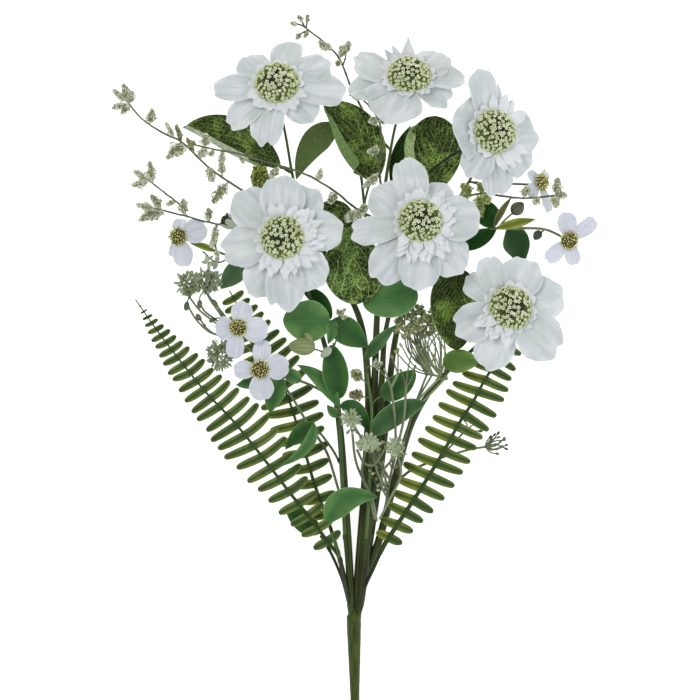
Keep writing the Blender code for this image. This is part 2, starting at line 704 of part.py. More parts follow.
def make_veined_leaves(stems):
    """The broad leaves with a pale net of veins, some with an edge curled over."""
    rest = stems.add_peg("upper_left", 173, spots((284, 168, 46), (277, 166, 44)), 0.9 * MM, 5 * MM)
    leaf = Leaf((280, 167, 45), (230, 131, 26), (184, 123, 4), 17, "ovate", -6, 0.10, True, True)
    stalk = tube(rest + [place((270, 160, 41))], [0.9 * MM] * (len(rest) + 1), 4)
    fuse("leaf_upper_left", [leaf_shape(leaf), stalk], VEINED_GREEN, rest[0].copy())

    rest = stems.add_peg("top", 300, spots((370, 262, 34), (365, 212, 33), (361, 175, 33), (354, 148, 35)),
                         1.2 * MM, 11 * MM)
    broad = Leaf((373, 182, 41), (357, 131, 45), (322, 101, 41), 22, "ovate", 0, 0.10, True)
    back = Leaf((339, 127, 35), (313, 142, 32), (296, 178, 27), 14, "ovate", 10, -0.10, True)
    shapes = [
        leaf_shape(broad), folded_edge(broad, -1, 9 * MM), leaf_shape(back),
        tube(rest, taper(1.2 * MM, 1.0 * MM, len(rest)), 5),
        petiole(((364, 205, 33), (367, 192, 36), (371, 178, 41))),
        petiole(((356, 152, 34.6), (348, 138, 35), (336, 128, 34.6))),
    ]
    fuse("leaves_top_centre", shapes, VEINED_GREEN, rest[0].copy())

    rest = stems.add_peg("upper_right", 150, spots((470, 147, 58), (460, 151, 59), (447, 159, 56)), 1.0 * MM, 8 * MM)
    leaf = Leaf((438, 190, 50), (435, 155, 49), (441, 116, 45), 28, "blunt", 0, 0.06, True)
    stalk = rest + [place((434, 167, 49))]
    shapes = [leaf_shape(leaf), folded_edge(leaf, -1, 8 * MM, (0.1, 0.86)), tube(stalk, [1.0 * MM] * len(stalk), 5)]
    fuse("leaf_top_right", shapes, VEINED_GREEN, rest[0].copy())

    rest = stems.add_peg("top", 208, spots((388, 192, 33), (391, 181, 29)), 0.9 * MM, 5.5 * MM)
    leaf = Leaf((391, 182, 29), (400, 150, 28), (411, 124, 27), 7, "narrow", 0, 0.2)
    stalk = rest + [place((393, 174, 28.6))]
    fuse("leaf_behind_top", [leaf_shape(leaf), tube(stalk, [0.9 * MM] * len(stalk), 4)], VEINED_GREEN, rest[0].copy())

    rest = stems.add_peg("top", 240, spots((372, 231, 48), (360, 227, 55), (350, 228, 58)), 0.9 * MM)
    large = Leaf((349, 226, 58), (353, 264, 61), (358, 304, 58), 30, "blunt", 0, 0.08, True)
    upper = Leaf((350, 230, 57), (333, 214, 60), (311, 218, 58), 15, "ovate", 0, 0.08)
    narrow = Leaf((385, 223, 44), (366, 226, 52), (349, 228, 57), 4.5, "narrow", 0, 0.1)
    stalk = rest + [place((350, 238, 59))]
    shapes = [leaf_shape(large), leaf_shape(upper), leaf_shape(narrow), tube(stalk, [0.9 * MM] * len(stalk), 4)]
    fuse("leaves_centre", shapes, VEINED_GREEN, rest[0].copy())

    rest = stems.add_peg("upper_right", 272, spots((438, 266, 49), (452, 268, 58)), 0.9 * MM)
    leaf = Leaf((458, 268, 60), (455, 306, 62), (457, 350, 58), 25, "round", 0, 0.08, True)
    stalk = rest + [place((458, 278, 60.5))]
    fuse("leaf_right", [leaf_shape(leaf), tube(stalk, [0.9 * MM] * len(stalk), 4)], VEINED_GREEN, rest[0].copy())


def make_smooth_leaves(stems):
    """The leafy stems of smooth rounded leaves."""
    rest = stems.add_shoot(
        spots((353, 615, 6), (349, 580, 12), (345, 540, 20), (343, 500, 28), (341, 450, 41), (339, 407, 50),
              (336, 365, 54), (331, 322, 60)), 1.4 * MM, 60 * MM)
    leaves = (
        Leaf((338, 407, 51), (322, 381, 55), (297, 365, 56), 8, "narrow", 0, 0.12),
        Leaf((338.5, 399, 51), (335, 370, 60), (331, 345, 63), 13, "round", 0, 0.10),
        Leaf((330, 322, 61), (306, 321, 66), (283, 320, 67), 21, "round", 0, 0.08, True),
        Leaf((332, 320, 61), (349, 333, 61), (367, 347, 57), 14, "ovate", 0, 0.08),
        Leaf((340, 406, 50), (357, 412, 47), (369, 432, 43), 9, "ovate", 0, 0.10),
        Leaf((339.4, 416, 48), (333, 412, 50), (327, 405, 49), 5, "narrow", 0, 0.10),
    )
    shapes = [tube(rest, taper(1.4 * MM, 1.0 * MM, len(rest)), 5)] + [leaf_shape(leaf) for leaf in leaves]
    shapes += [
        petiole(((331, 323, 59.5), (338, 330, 65), (334, 346, 68), (326, 352, 69), (312, 348, 71)), 0.6 * MM),
        spindle(place((331, 348, 69)), place((321, 357, 69)), 3.0 * MM, 5),
        spindle(place((315, 347, 71)), place((289, 346, 71)), 7.5 * MM, 6),
    ]
    fuse("leafy_stem_centre", shapes, LEAF_GREEN, rest[0].copy())

    rest = stems.add_shoot(
        spots((351, 615, 7), (346, 585, 13), (339, 556, 23), (331, 534, 31)), 1.2 * MM, 44 * MM)
    leaf = Leaf((330, 531, 32), (344, 502, 41), (378, 500, 43), 14, "ovate", 0, 0.12, True)
    stalk = rest + [place((333, 524, 33.5))]
    fuse("leaf_low", [leaf_shape(leaf), tube(stalk, [1.1 * MM] * len(stalk), 4)], LEAF_GREEN, rest[0].copy())

    rest = stems.add_shoot(
        spots((350, 613, 5), (342, 582, 7), (330, 554, 8), (319, 536, 7)), 1.1 * MM, 50 * MM)
    leaf = Leaf((319, 536, 7), (301, 522, 5), (284, 509, 2), 11, "ovate", 0, 0.10, False, True)
    stalk = rest + [place((316, 533, 7))]
    fuse("leaf_low_back", [leaf_shape(leaf), tube(stalk, [1.0 * MM] * len(stalk), 4)], LEAF_GREEN, rest[0].copy())

    rest = stems.add_shoot(
        spots((358, 615, 8), (362, 580, 17), (366, 540, 27), (369, 500, 37), (371, 440, 47), (371, 400, 49),
              (364, 358, 50)), 1.3 * MM, 58 * MM)
    leaves = (
        Leaf((372, 435, 47.5), (396, 414, 50), (425, 403, 46), 12, "round", 0, 0.14),
        Leaf((381, 396, 47), (399, 386, 46), (415, 371, 42), 12, "round", 0, 0.10),
        Leaf((364.5, 360, 49.9), (379, 342, 52), (396, 325, 50), 7, "narrow", 0, 0.14),
    )
    shapes = [tube(rest, taper(1.3 * MM, 1.0 * MM, len(rest)), 5)] + [leaf_shape(leaf) for leaf in leaves]
    shapes.append(petiole(((371, 406, 48.8), (377, 399, 47.6), (387, 393, 46.6)), 0.7 * MM))
    fuse("leafy_stem_right", shapes, LEAF_GREEN, rest[0].copy())

    rest = stems.add_peg("left", 470, spots((331, 448, 35), (314, 426, 41)), 0.9 * MM, 9 * MM)
    leaves = (
        Leaf((313, 424, 41), (305, 447, 45), (280, 467, 41), 8, "narrow", 0, 0.14),
        Leaf((313, 424, 41), (299, 434, 39), (285, 450, 34), 8, "ovate", 0, 0.10),
    )
    stalk = rest + [place((311, 427, 41.4))]
    shapes = [leaf_shape(leaf) for leaf in leaves] + [tube(stalk, [0.9 * MM] * len(stalk), 4)]
    fuse("leafy_twig_left", shapes, LEAF_GREEN, rest[0].copy())

    rest = stems.add_peg("right", 300, spots((398, 300, 53),), 0.9 * MM, 3.0 * MM)
    leaf = Leaf((417, 290, 55), (391, 299, 56), (363, 304, 54), 19, "round", 0, 0.06, True)
    stalk = rest + [place((396, 299, 56))]
    shapes = [leaf_shape(leaf), tube(stalk, [0.9 * MM] * len(stalk), 4)]
    fuse("leaf_under_right_bloom", shapes, LEAF_GREEN, rest[0].copy())

    rest = stems.add_peg("lower_right", 374, spots((446, 367, 44),), 0.9 * MM, 5 * MM)
    leaf = Leaf((444, 365, 47), (460, 361, 51), (478, 363, 49), 12, "round", 0, 0.08)
    stalk = rest + [place((449, 363, 48.6))]
    fuse("leaf_under_lower_bloom", [leaf_shape(leaf), tube(stalk, [0.9 * MM] * len(stalk), 4)],
         LEAF_GREEN, rest[0].copy())


def flower_stalk(start, flower, radius):
    """A thin stalk that ends in the seat of a small flower."""
    end = neck(flower, 0.0, EYE_DISC_HALF + CLEARANCE, 9 * MM)
    route = start + [end[0], end[-1]]
    return tube(route, [radius] * len(route), 4)


def make_flower_twigs(stems):
    """The twigs that carry the small flowers, with their leaves and buds."""
    flowers = {flower.name: flower for flower in SMALL_FLOWERS}

    rest = stems.add_peg("upper_left", 264, spots((300, 264, 36), (262, 262, 37), (230, 257, 39)), 1.1 * MM)
    stalk = flower_stalk(rest + spots((206, 247, 41)), flowers["far_left"], 1.0 * MM)
    leaf = Leaf((250, 260.2, 37.7), (233, 273, 22), (219, 288, 4), 11, "ovate", 0, 0.10, False, True)
    slim = Leaf((214, 251, 40), (203, 246, 45), (189, 243, 41), 3.5, "narrow", 0, 0.12)
    shapes = [stalk, leaf_shape(leaf), leaf_shape(slim),
              petiole(((230, 257, 39), (216, 262, 38), (202, 251, 38)), 0.6 * MM)]
    for foot, tip in (((216, 262, 38), (213, 269, 38)), ((216, 262, 38), (217, 254, 38)),
                      ((209, 256.5, 38), (203, 262, 38))):
        shapes.append(spindle(place(foot), place(tip), 1.6 * MM))
    fuse("leafy_twig_far_left", shapes, LEAF_GREEN, rest[0].copy())

    rest = stems.add_peg("left", 400, spots((318, 389, 44), (300, 381, 49), (282, 377, 53)), 1.1 * MM)
    leaves = (
        Leaf((301, 381, 49), (291, 375, 52), (281, 367, 52), 7, "ovate", 0, 0.10),
        Leaf((283, 378, 52.5), (274, 395, 51), (270, 413, 49), 10, "ovate", 0, 0.10),
        Leaf((266, 374, 55), (251, 382, 55), (236, 385, 53), 7, "ovate", 0, 0.10),
    )
    shapes = [flower_stalk(list(rest), flowers["lower_left"], 1.0 * MM)]
    shapes.append(flower_stalk(spots((284, 378, 52.6), (266, 356, 53)), flowers["left"], 0.9 * MM))
    shapes += [leaf_shape(leaf) for leaf in leaves]
    fuse("leafy_twig_lower_left", shapes, LEAF_GREEN, rest[0].copy())

    rest = stems.add_peg("upper_right", 228, spots((468, 231, 42), (495, 228, 46), (525, 228, 48)), 1.2 * MM)
    leaves = (
        Leaf((497, 228, 46.1), (473, 241, 45), (447, 247, 42), 9, "narrow", 0, 0.10),
        Leaf((507, 229, 47), (518, 243, 28), (524, 264, 6), 14, "ovate", 0, 0.10, True, True),
        Leaf((495, 227, 46.5), (487, 212, 47), (479, 197, 44), 12, "ovate", 0, 0.10),
        Leaf((494, 227, 46.5), (502, 211, 51), (512, 197, 52), 3.5, "narrow", 0, 0.14),
        Leaf((496, 228, 46.5), (517, 223, 52), (536, 219, 53), 5, "narrow", 0, 0.14),
    )
    shapes = [flower_stalk(rest + spots((545, 229, 50)), flowers["far_right"], 1.1 * MM)]
    shapes += [leaf_shape(leaf) for leaf in leaves]
    shapes += [
        petiole(((498, 228, 46.5), (507, 218, 50), (517, 210, 53)), 0.7 * MM),
        spindle(place((513, 213, 51.5)), place((523, 203, 55)), 4.2 * MM, 6),
        petiole(((545, 229, 49.4), (542, 232, 48), (538, 235, 47)), 0.7 * MM),
        spindle(place((541, 231, 48)), place((535, 239, 46)), 2.9 * MM, 6),
    ]
    fuse("leafy_twig_far_right", shapes, LEAF_GREEN, rest[0].copy())

    rest = stems.add_peg("upper_right", 181, spots((492, 184, 42), (516, 183, 40)), 0.9 * MM)
    stalk = flower_stalk(list(rest), flowers["behind_right"], 0.9 * MM)
    fuse("flower_stalk_behind_right", [stalk], LEAF_GREEN, rest[0].copy())


def lobes(route, foot, tips, radius):
    """The fuzzy lobes of a cluster, from feet that follow each other down the stem to their tips."""
    first = nearest(route, place(foot))
    shapes = []
    for i, tip in enumerate(tips):
        start, _ = walk(route, max(first - LOBE_SPACING * i, 0.0))
        end = place(tip)
        shapes.append(spindle(start - (end - start).normalized() * 0.2 * MM, end, radius, 3))
    return shapes


def make_spray(name, stems, stem, row, route, clusters, stalks=(), peg=PEG_LENGTH):
    """A pale fuzzy spray: a thin stem with clusters of small lobes."""
    rest = stems.add_peg(stem, row, spots(*route), 0.85 * MM, peg)
    routes = [rest] + [spots(*stalk) for stalk in stalks]
    shapes = [tube(rest, taper(0.85 * MM, 0.65 * MM, len(rest)), 3)]
    shapes += [tube(branch, [0.6 * MM] * len(branch), 3) for branch in routes[1:]]
    for foot, tips, radius in clusters:
        closest = min(routes, key=lambda branch: (walk(branch, nearest(branch, place(foot)))[0] - place(foot)).length)
        shapes += lobes(closest, foot, tips, radius * MM)
    fuse(name, shapes, SAGE, rest[0].copy())


def make_sprays(stems):
    make_spray(
        "spray_upper_left", stems, "upper_left", 238,
        ((282, 213, 46), (237, 187, 52), (207, 166, 54), (182, 142, 55), (165, 134, 55), (142, 119, 54),
         (126, 100, 53)),
        (
            ((127, 102, 53), ((113, 92, 52), (123, 86, 55), (133, 93, 55), (117, 107, 52)), 2.8),
            ((149, 124, 54), ((153, 109, 56),), 3.4),
            ((179, 141, 55), ((167, 123, 56), (179, 127, 57), (168, 160, 54), (178, 152, 57)), 3.2),
            ((207, 166, 54), ((208, 183, 53),), 3.6),
            ((222, 177, 53), ((221, 152, 56),), 4.0),
            ((228, 181, 52.5), ((214, 200, 52),), 3.8),
        ))
    make_spray(
        "spray_arching", stems, "top", 222,
        ((370, 216, 57), (354, 207, 63), (337, 193, 65), (320, 182, 63), (303, 173, 61), (284, 167, 59),
         (266, 162, 58), (240, 154, 58), (213, 149, 60), (195, 145, 61)),
        (
            ((356, 208, 62.6), ((347, 222, 66), (357, 223, 66), (367, 207, 67)), 3.2),
            ((337, 193, 65), ((329, 203, 67),), 3.0),
            ((319, 181, 62.8), ((321, 169, 64),), 2.2),
            ((279, 166, 58.8), ((269, 180, 58),), 2.6),
            ((262, 161, 58), ((257, 190, 58),), 6.0),
            ((205, 147, 60.4), ((206, 135, 62), (199, 157, 59)), 3.6),
            ((197, 145, 60.8), ((187, 141, 62),), 2.2),
        ))
    make_spray(
        "spray_left", stems, "upper_left", 252,
        ((290, 240, 43), (234, 227, 50), (208, 222, 51), (186, 216, 53), (170, 212, 54), (154, 208, 54)),
        (
            ((155, 208, 54), ((136, 205, 53), (139, 219, 54), (149, 222, 54), (151, 195, 56)), 2.9),
            ((184, 215.5, 53), ((184, 200, 55),), 3.4),
            ((209, 222, 51), ((207, 209, 53),), 2.8),
            ((216, 223.5, 50.8), ((212, 247, 50),), 3.6),
            ((149, 181, 54), ((132, 184, 54), (135, 171, 55), (150, 163, 55)), 3.0),
            ((176, 201, 53.4), ((164, 206, 54),), 2.0),
            ((229, 226, 50.4), ((230, 210, 56),), 6.0),
        ),
        (((187, 217, 53), (180, 205, 53.6), (165, 193, 54), (147, 179, 54)),))
    make_spray(
        "spray_top", stems, "top", 150,
        ((374, 128, 30), (361, 105, 31), (352, 88, 35), (346, 73, 41), (339, 57, 45), (326, 43, 47),
         (306, 27, 46)),
        (
            ((308, 29, 46), ((299, 23, 45), (309, 16, 46), (301, 33, 46)), 2.2),
            ((332, 49, 46.2), ((321, 42, 48),), 3.2),
            ((341, 61, 43.8), ((349, 40, 47), (336, 63, 46)), 3.6),
        ),
        peg=6 * MM)
    make_spray(
        "spray_centre", stems, "top", 196,
        ((381, 184, 48), (379, 165, 53), (381, 145, 54), (380, 124, 54), (372, 109, 54), (361, 97, 54)),
        (
            ((380, 121, 54), ((370, 122, 57), (387, 115, 56)), 2.8),
            ((362, 98, 54), ((352, 94, 56), (365, 91, 57)), 2.4),
            ((380, 150, 54), ((368, 151, 57),), 3.0),
            ((380, 172, 51.6), ((364, 187, 55),), 3.0),
        ),
        peg=8 * MM)
    make_spray(
        "spray_right", stems, "upper_right", 205,
        ((466, 197, 52), (484, 193, 55), (503, 196, 54), (522, 198, 54), (540, 197, 55), (556, 195, 56)),
        (
            ((556, 195, 56), ((558, 178, 57), (567, 195, 58), (558, 207, 56)), 3.2),
            ((540, 197, 55), ((534, 203, 57),), 2.6),
            ((524, 198, 54), ((527, 187, 57),), 3.0),
            ((472, 195, 53.4), ((462, 184, 56), (460, 199, 57)), 3.4),
            ((482, 193.4, 54.8), ((480, 183, 58), (490, 202, 57), (481, 217, 56)), 3.4),
        ))


def rays(foot, buds, radius, bud_radius):
    """The rays of an umbel from its foot, each with a bud on its end."""
    start = place(foot)
    shapes = [spindle(start - Vector((0, 2.4 * MM, 0)), start + Vector((0, 2.4 * MM, 0)), 1.5 * MM, 5)]
    for bud in buds:
        end = place(bud)
        step = (end - start).normalized() * bud_radius
        ray = tube([start, end - step, end], [radius, radius, bud_radius], 3)
        ray.points.append(end + step * 1.4)
        ray.faces[-1:] = [(6, 7, 9), (7, 8, 9), (8, 6, 9)]
        shapes.append(ray)
    return shapes


def head(spot, radius, petals=8):
    """A pale umbel seen from above: a low star of florets."""
    centre = place(spot)
    points = [centre + Vector((0, 0, 2.2 * MM)), centre - Vector((0, 0, 2.0 * MM))]
    for k in range(petals * 2):
        turn = math.pi * k / petals
        across = radius * (1.0 if k % 2 else 0.66)
        points.append(centre + Vector((math.cos(turn), math.sin(turn) * 0.85, 0)) * across)
    count = petals * 2
    faces = []
    for k in range(count):
        near, far = 2 + k, 2 + (k + 1) % count
        faces += [(0, near, far), (1, far, near)]
    return Shape(points, faces)


def make_umbel(name, stems, stem, row, route, stalks, groups, heads=(), peg=9 * MM):
    """A grey-green umbel: a stalk that forks into rays with buds."""
    rest = stems.add_peg(stem, row, spots(*route), 0.9 * MM, peg)
    shapes = [tube(rest, taper(0.9 * MM, 0.7 * MM, len(rest)), 4)]
    shapes += [petiole(stalk, 0.65 * MM) for stalk in stalks]
    for foot, buds, bud_radius in groups:
        shapes += rays(foot, buds, 0.6 * MM, bud_radius * MM)
    shapes += [head(spot, radius * MM) for spot, radius in heads]
    fuse(name, shapes, GREY_GREEN, rest[0].copy())


def make_umbels(stems):
    make_umbel(
        "umbel_left", stems, "left", 520,
        ((334, 476, 22), (325, 450, 25), (305, 420, 29), (288, 392, 33), (262, 360, 42), (240, 343, 46),
         (228, 332, 47)),
        (((228, 332, 47), (214, 322, 47), (199, 310, 46), (189, 297, 45)),
         ((229, 332, 47), (221, 316, 46), (210, 300, 45), (205, 290, 44))),
        (
            ((189, 297, 45), ((182, 281, 46), (190, 273, 47), (186, 303, 44), (196, 284, 48)), 2.5),
            ((205, 290, 44), ((200, 276, 46), (210, 273, 46), (219, 284, 45), (198, 298, 42), (213, 299, 43)), 2.6),
            ((236, 340, 46), ((219, 348, 46), (224, 363, 46), (212, 361, 44)), 2.6),
        ), peg=18 * MM)
    make_umbel(
        "umbel_right", stems, "lower_right", 474,
        ((406, 436, 31), (416, 404, 37), (427, 375, 41)),
        (((416, 404, 37), (424, 391, 40), (437, 380, 41)),),
        (
            ((427, 375, 41), ((399, 322, 44), (408, 311, 45), (419, 308, 46), (427, 321, 47), (437, 312, 46),
                              (445, 325, 45), (406, 336, 48), (416, 328, 49)), 3.0),
            ((437, 380, 41), ((441, 370, 43), (446, 378, 42)), 2.0),
        ), peg=13 * MM)
    make_umbel(
        "umbel_centre", stems, "lower_right", 522,
        ((388, 492, 31), (392, 470, 43), (396, 450, 51)),
        (((390, 480, 38), (379, 462, 49), (369, 445, 55)),
         ((372, 450, 54), (361, 437, 57), (351, 421, 59)),
         ((396, 450, 51), (395, 418, 54), (391, 390, 55)),
         ((397, 450, 51), (404, 418, 54), (406, 388, 55))),
        (
            ((391, 390, 55), ((385, 370, 56), (397, 362, 57)), 1.8),
            ((406, 388, 55), ((400, 372, 57), (412, 352, 57), (415, 372, 56)), 1.9),
            ((384, 470, 44), ((373, 474, 46), (378, 486, 44)), 1.8),
        ),
        (((351, 419, 60), 9.0), ((367, 443, 57), 10.0), ((395, 449, 52.5), 7.5)), peg=12 * MM)
    make_umbel(
        "umbel_far_right", stems, "lower_right", 492,
        ((408, 474, 13), (440, 460, 9), (470, 451, 8), (487, 448, 8)),
        (((440, 460, 9), (456, 443, 10), (468, 430, 11)),),
        (
            ((487, 448, 8), ((492, 438, 9), (500, 434, 10), (506, 441, 9), (508, 450, 8), (499, 455, 7)), 1.9),
            ((468, 430, 11), ((466, 421, 12), (476, 424, 12)), 1.9),
        ))


def clear_scene():
    for obj in list(bpy.data.objects):
        bpy.data.objects.remove(obj)


def main():
    clear_scene()
    bunch = bpy.data.objects.new("bunch", None)
    bpy.context.scene.collection.objects.link(bunch)
    rng = random.Random(7)
    stems = Stems()
    stems.add_handle()
    for bloom in BLOOMS:
        stems.add_bloom_stem(bloom)
        make_bloom(bloom, rng)
    for flower in SMALL_FLOWERS:
        make_small_flower(flower)
    make_ferns(stems)
    make_veined_leaves(stems)
    make_smooth_leaves(stems)
    make_flower_twigs(stems)
    make_sprays(stems)
    make_umbels(stems)
    stems.build()


main()
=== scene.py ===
"""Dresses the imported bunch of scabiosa: petals, bead domes, leaves, fronds, sprays, umbels and taped stems.

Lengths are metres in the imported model's frame: +Y runs from handle to flowers, and +Z towards their faces.
A place on the bunch is a spot: the column and row where the picture shows it, and its height in millimetres.
"""

import logging
import math
from collections.abc import Iterable, Sequence
from dataclasses import dataclass, field
from enum import Enum

import bpy
import numpy as np
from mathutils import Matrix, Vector

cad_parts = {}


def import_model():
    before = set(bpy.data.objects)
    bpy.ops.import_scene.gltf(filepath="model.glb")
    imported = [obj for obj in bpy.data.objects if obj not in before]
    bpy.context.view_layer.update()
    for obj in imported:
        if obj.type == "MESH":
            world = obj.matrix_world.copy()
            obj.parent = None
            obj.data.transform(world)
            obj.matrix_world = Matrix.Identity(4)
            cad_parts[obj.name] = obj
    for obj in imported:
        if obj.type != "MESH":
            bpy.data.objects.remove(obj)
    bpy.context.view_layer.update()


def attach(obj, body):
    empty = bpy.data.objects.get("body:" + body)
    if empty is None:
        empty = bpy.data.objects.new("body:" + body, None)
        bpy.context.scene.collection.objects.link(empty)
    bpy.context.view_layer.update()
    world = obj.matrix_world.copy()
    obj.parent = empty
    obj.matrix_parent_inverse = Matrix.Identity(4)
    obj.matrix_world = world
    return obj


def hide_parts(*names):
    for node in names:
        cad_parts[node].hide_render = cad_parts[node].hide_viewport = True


LOG = logging.getLogger("bunch")

MM = 0.001
PIXEL = 0.75 * MM
REST_COLUMN, REST_ROW = 354.0, 640.0
TAU = math.tau
GOLDEN_TURN = 2.399963
CENTIMETRES_A_METRE = 100
BROAD_LEAF = 12
FLOCK_AREA = 0.16 * MM * MM
SEED = 20
SHARP_ANGLE = math.radians(62)

Spot = tuple[float, float, float]
Colour = tuple[float, float, float]
Array = np.ndarray

PETAL_THICK, LEAF_THICK = 0.35 * MM, 0.45 * MM
SCALE_THICK, CUP_THICK = 0.3 * MM, 0.4 * MM
RIGHT, AHEAD, UP = np.eye(3)


class Slot(Enum):
    """The record's material slots."""

    PETALS = "petals"
    CENTRES = "bloom_centres"
    EYES = "flower_eyes"
    STEMS = "taped_stems"
    FERNS = "ferns"
    VEINED = "veined_leaves"
    SMOOTH = "smooth_leaves"
    SPRAYS = "sprays"
    UMBELS = "umbels"


class LeafForm(Enum):
    """The outlines of leaves, as the shift and the bulge of their widest place."""

    OVATE = (0.78, 0.8)
    ROUND = (0.85, 0.55)
    BLUNT = (1.25, 0.5)
    NARROW = (0.85, 0.9)


class BudKind(Enum):
    """The kinds of lobe on a spray."""

    FUZZ = "fuzz"
    CONE = "cone"
    HALF_OPEN = "half_open"


def place(spot: Spot) -> Array:
    """The point of the bunch at a column, a row and a height in millimetres."""
    column, row, height = spot
    return np.array(((column - REST_COLUMN) * PIXEL, (REST_ROW - row) * PIXEL, height * MM))


def places(spots: Iterable[Spot]) -> Array:
    """The points of the bunch at a list of spots."""
    return np.array([place(spot) for spot in spots])


def unit(vectors: Array) -> Array:
    """Vectors scaled to a length of one."""
    return vectors / np.maximum(np.linalg.norm(vectors, axis=-1, keepdims=True), 1e-12)


def ease(value: Array | float, low: float, high: float) -> Array:
    """A smooth rise from 0 at the low value to 1 at the high one."""
    share = np.clip((np.asarray(value, float) - low) / (high - low), 0.0, 1.0)
    return share * share * (3 - 2 * share)


def smooth_route(points: Array, steps: int) -> Array:
    """A smooth curve through points.

    Args:
        points: The places that it passes, one a row.
        steps: How many stretches it has between each two places.

    Returns:
        The points of the curve, one a row.
    """
    ends = np.vstack([2 * points[0] - points[1], points, 2 * points[-1] - points[-2]])
    t = np.arange(steps)[:, None] / steps
    parts = [
        (2 * b + (c - a) * t + (2 * a - 5 * b + 4 * c - d) * t**2 + (3 * b - 3 * c + d - a) * t**3) / 2
        for a, b, c, d in zip(ends, ends[1:], ends[2:], ends[3:])
    ]
    return np.vstack([*parts, points[-1:]])


def distances(route: Array) -> Array:
    """How far along a route each of its points lies."""
    return np.concatenate([[0.0], np.cumsum(np.linalg.norm(np.diff(route, axis=0), axis=1))])


def walk(route: Array, distance: Array | float) -> tuple[Array, Array]:
    """Points on a route and its directions there.

    Args:
        route: The points of the route.
        distance: One distance along it, or several.

    Returns:
        The points and the unit directions at those distances.
    """
    length = distances(route)
    heading = unit(np.gradient(route, axis=0))
    at = np.stack([np.interp(distance, length, route[:, i]) for i in range(3)], axis=-1)
    toward = np.stack([np.interp(distance, length, heading[:, i]) for i in range(3)], axis=-1)
    return at, unit(toward)


def nearest(route: Array, spot: Array) -> float:
    """The distance along a route of its point nearest to a spot."""
    fine = np.linspace(0, distances(route)[-1], 400)
    return float(fine[np.argmin(np.linalg.norm(walk(route, fine)[0] - spot, axis=1))])


def crossing(route: Array, row: float) -> Array:
    """The point where a route crosses a row of the picture."""
    fine = walk(route, np.linspace(0, distances(route)[-1], 800))[0]
    return fine[np.argmin(np.abs(fine[:, 1] - (REST_ROW - row) * PIXEL))]


def cut_route(route: Array, length: float) -> tuple[Array, Array]:
    """Cuts a route in two.

    Args:
        route: The points of the route.
        length: How far along it the cut is.

    Returns:
        The stretch up to the cut, and the stretch after it.
    """
    walked = distances(route)
    point = walk(route, length)[0][None]
    return np.vstack([route[walked < length], point]), np.vstack([point, route[walked > length + 1e-6]])


def frames(route: Array) -> tuple[Array, Array]:
    """Two directions square to a route, which turn with it as little as they can.

    Args:
        route: The points of the route.

    Returns:
        The two directions at each point.
    """
    heading = unit(np.gradient(route, axis=0))
    side = np.cross(UP, heading[0])
    side = side if np.linalg.norm(side) > 0.01 else RIGHT
    sides = []
    for toward in heading:
        side = unit(side - toward * (side @ toward))
        sides.append(side)
    return np.array(sides), np.cross(heading, np.array(sides))


def axes(direction: Array, width: Array | float, length: Array | float, spin: Array | float = 0.0) -> Array:
    """Matrices that turn and scale a bead so that its third axis follows a direction.

    Args:
        direction: The directions, one a row.
        width: The bead's half-widths.
        length: Its half-lengths.
        spin: Its turns round its own axis.

    Returns:
        One matrix a direction, with the bead's scaled axes as its rows.
    """
    toward = unit(np.atleast_2d(direction))
    helper = np.where(np.abs(toward[:, 2:]) < 0.9, UP, RIGHT)
    first = unit(np.cross(helper, toward))
    second = np.cross(toward, first)
    turn = np.broadcast_to(np.asarray(spin, float), len(toward))[:, None]
    wide = np.broadcast_to(np.asarray(width, float), len(toward))[:, None]
    long = np.broadcast_to(np.asarray(length, float), len(toward))[:, None]
    one = (first * np.cos(turn) + second * np.sin(turn)) * wide
    two = (second * np.cos(turn) - first * np.sin(turn)) * wide
    return np.stack([one, two, toward * long], axis=1)


def around(first: Array, second: Array, turn: Array) -> Array:
    """The directions that turn from one direction towards another by the given angles."""
    return first * np.cos(turn)[..., None] + second * np.sin(turn)[..., None]


def sheet(rows: int, columns: int) -> tuple[Array, Array]:
    """How far each point of a grid lies along it, from 0 to 1, and across it, from -1 to 1."""
    return np.meshgrid(np.linspace(0, 1, rows), np.linspace(-1, 1, columns), indexing="ij")


def bead_template(splits: int) -> tuple[Array, Array]:
    """A round bead of radius one, made from an octahedron.

    Args:
        splits: How many times each face is split into four.

    Returns:
        The bead's points and triangles.
    """
    points = [Vector(v) for v in ((1, 0, 0), (-1, 0, 0), (0, 1, 0), (0, -1, 0), (0, 0, 1), (0, 0, -1))]
    faces = [(4, 0, 2), (4, 2, 1), (4, 1, 3), (4, 3, 0), (5, 2, 0), (5, 1, 2), (5, 3, 1), (5, 0, 3)]
    for _ in range(splits):
        halves: dict[tuple[int, int], int] = {}

        def half(a: int, b: int, known: dict[tuple[int, int], int] = halves) -> int:
            """Finds the point halfway between two others, or adds it.

            Args:
                a: The number of the first.
                b: The number of the second.
                known: The numbers of the halfway points there are.

            Returns:
                Its number.
            """
            key = (min(a, b), max(a, b))
            if key not in known:
                known[key] = len(points)
                points.append((points[a] + points[b]).normalized())
            return known[key]

        faces = [
            triangle
            for a, b, c in faces
            for triangle in (
                (a, half(a, b), half(c, a)), (b, half(b, c), half(a, b)), (c, half(c, a), half(b, c)),
                (half(a, b), half(b, c), half(c, a)))
        ]
    return np.array([tuple(point) for point in points]), np.array(faces)


SPECK, GRAIN, BEAD = (bead_template(splits) for splits in range(3))


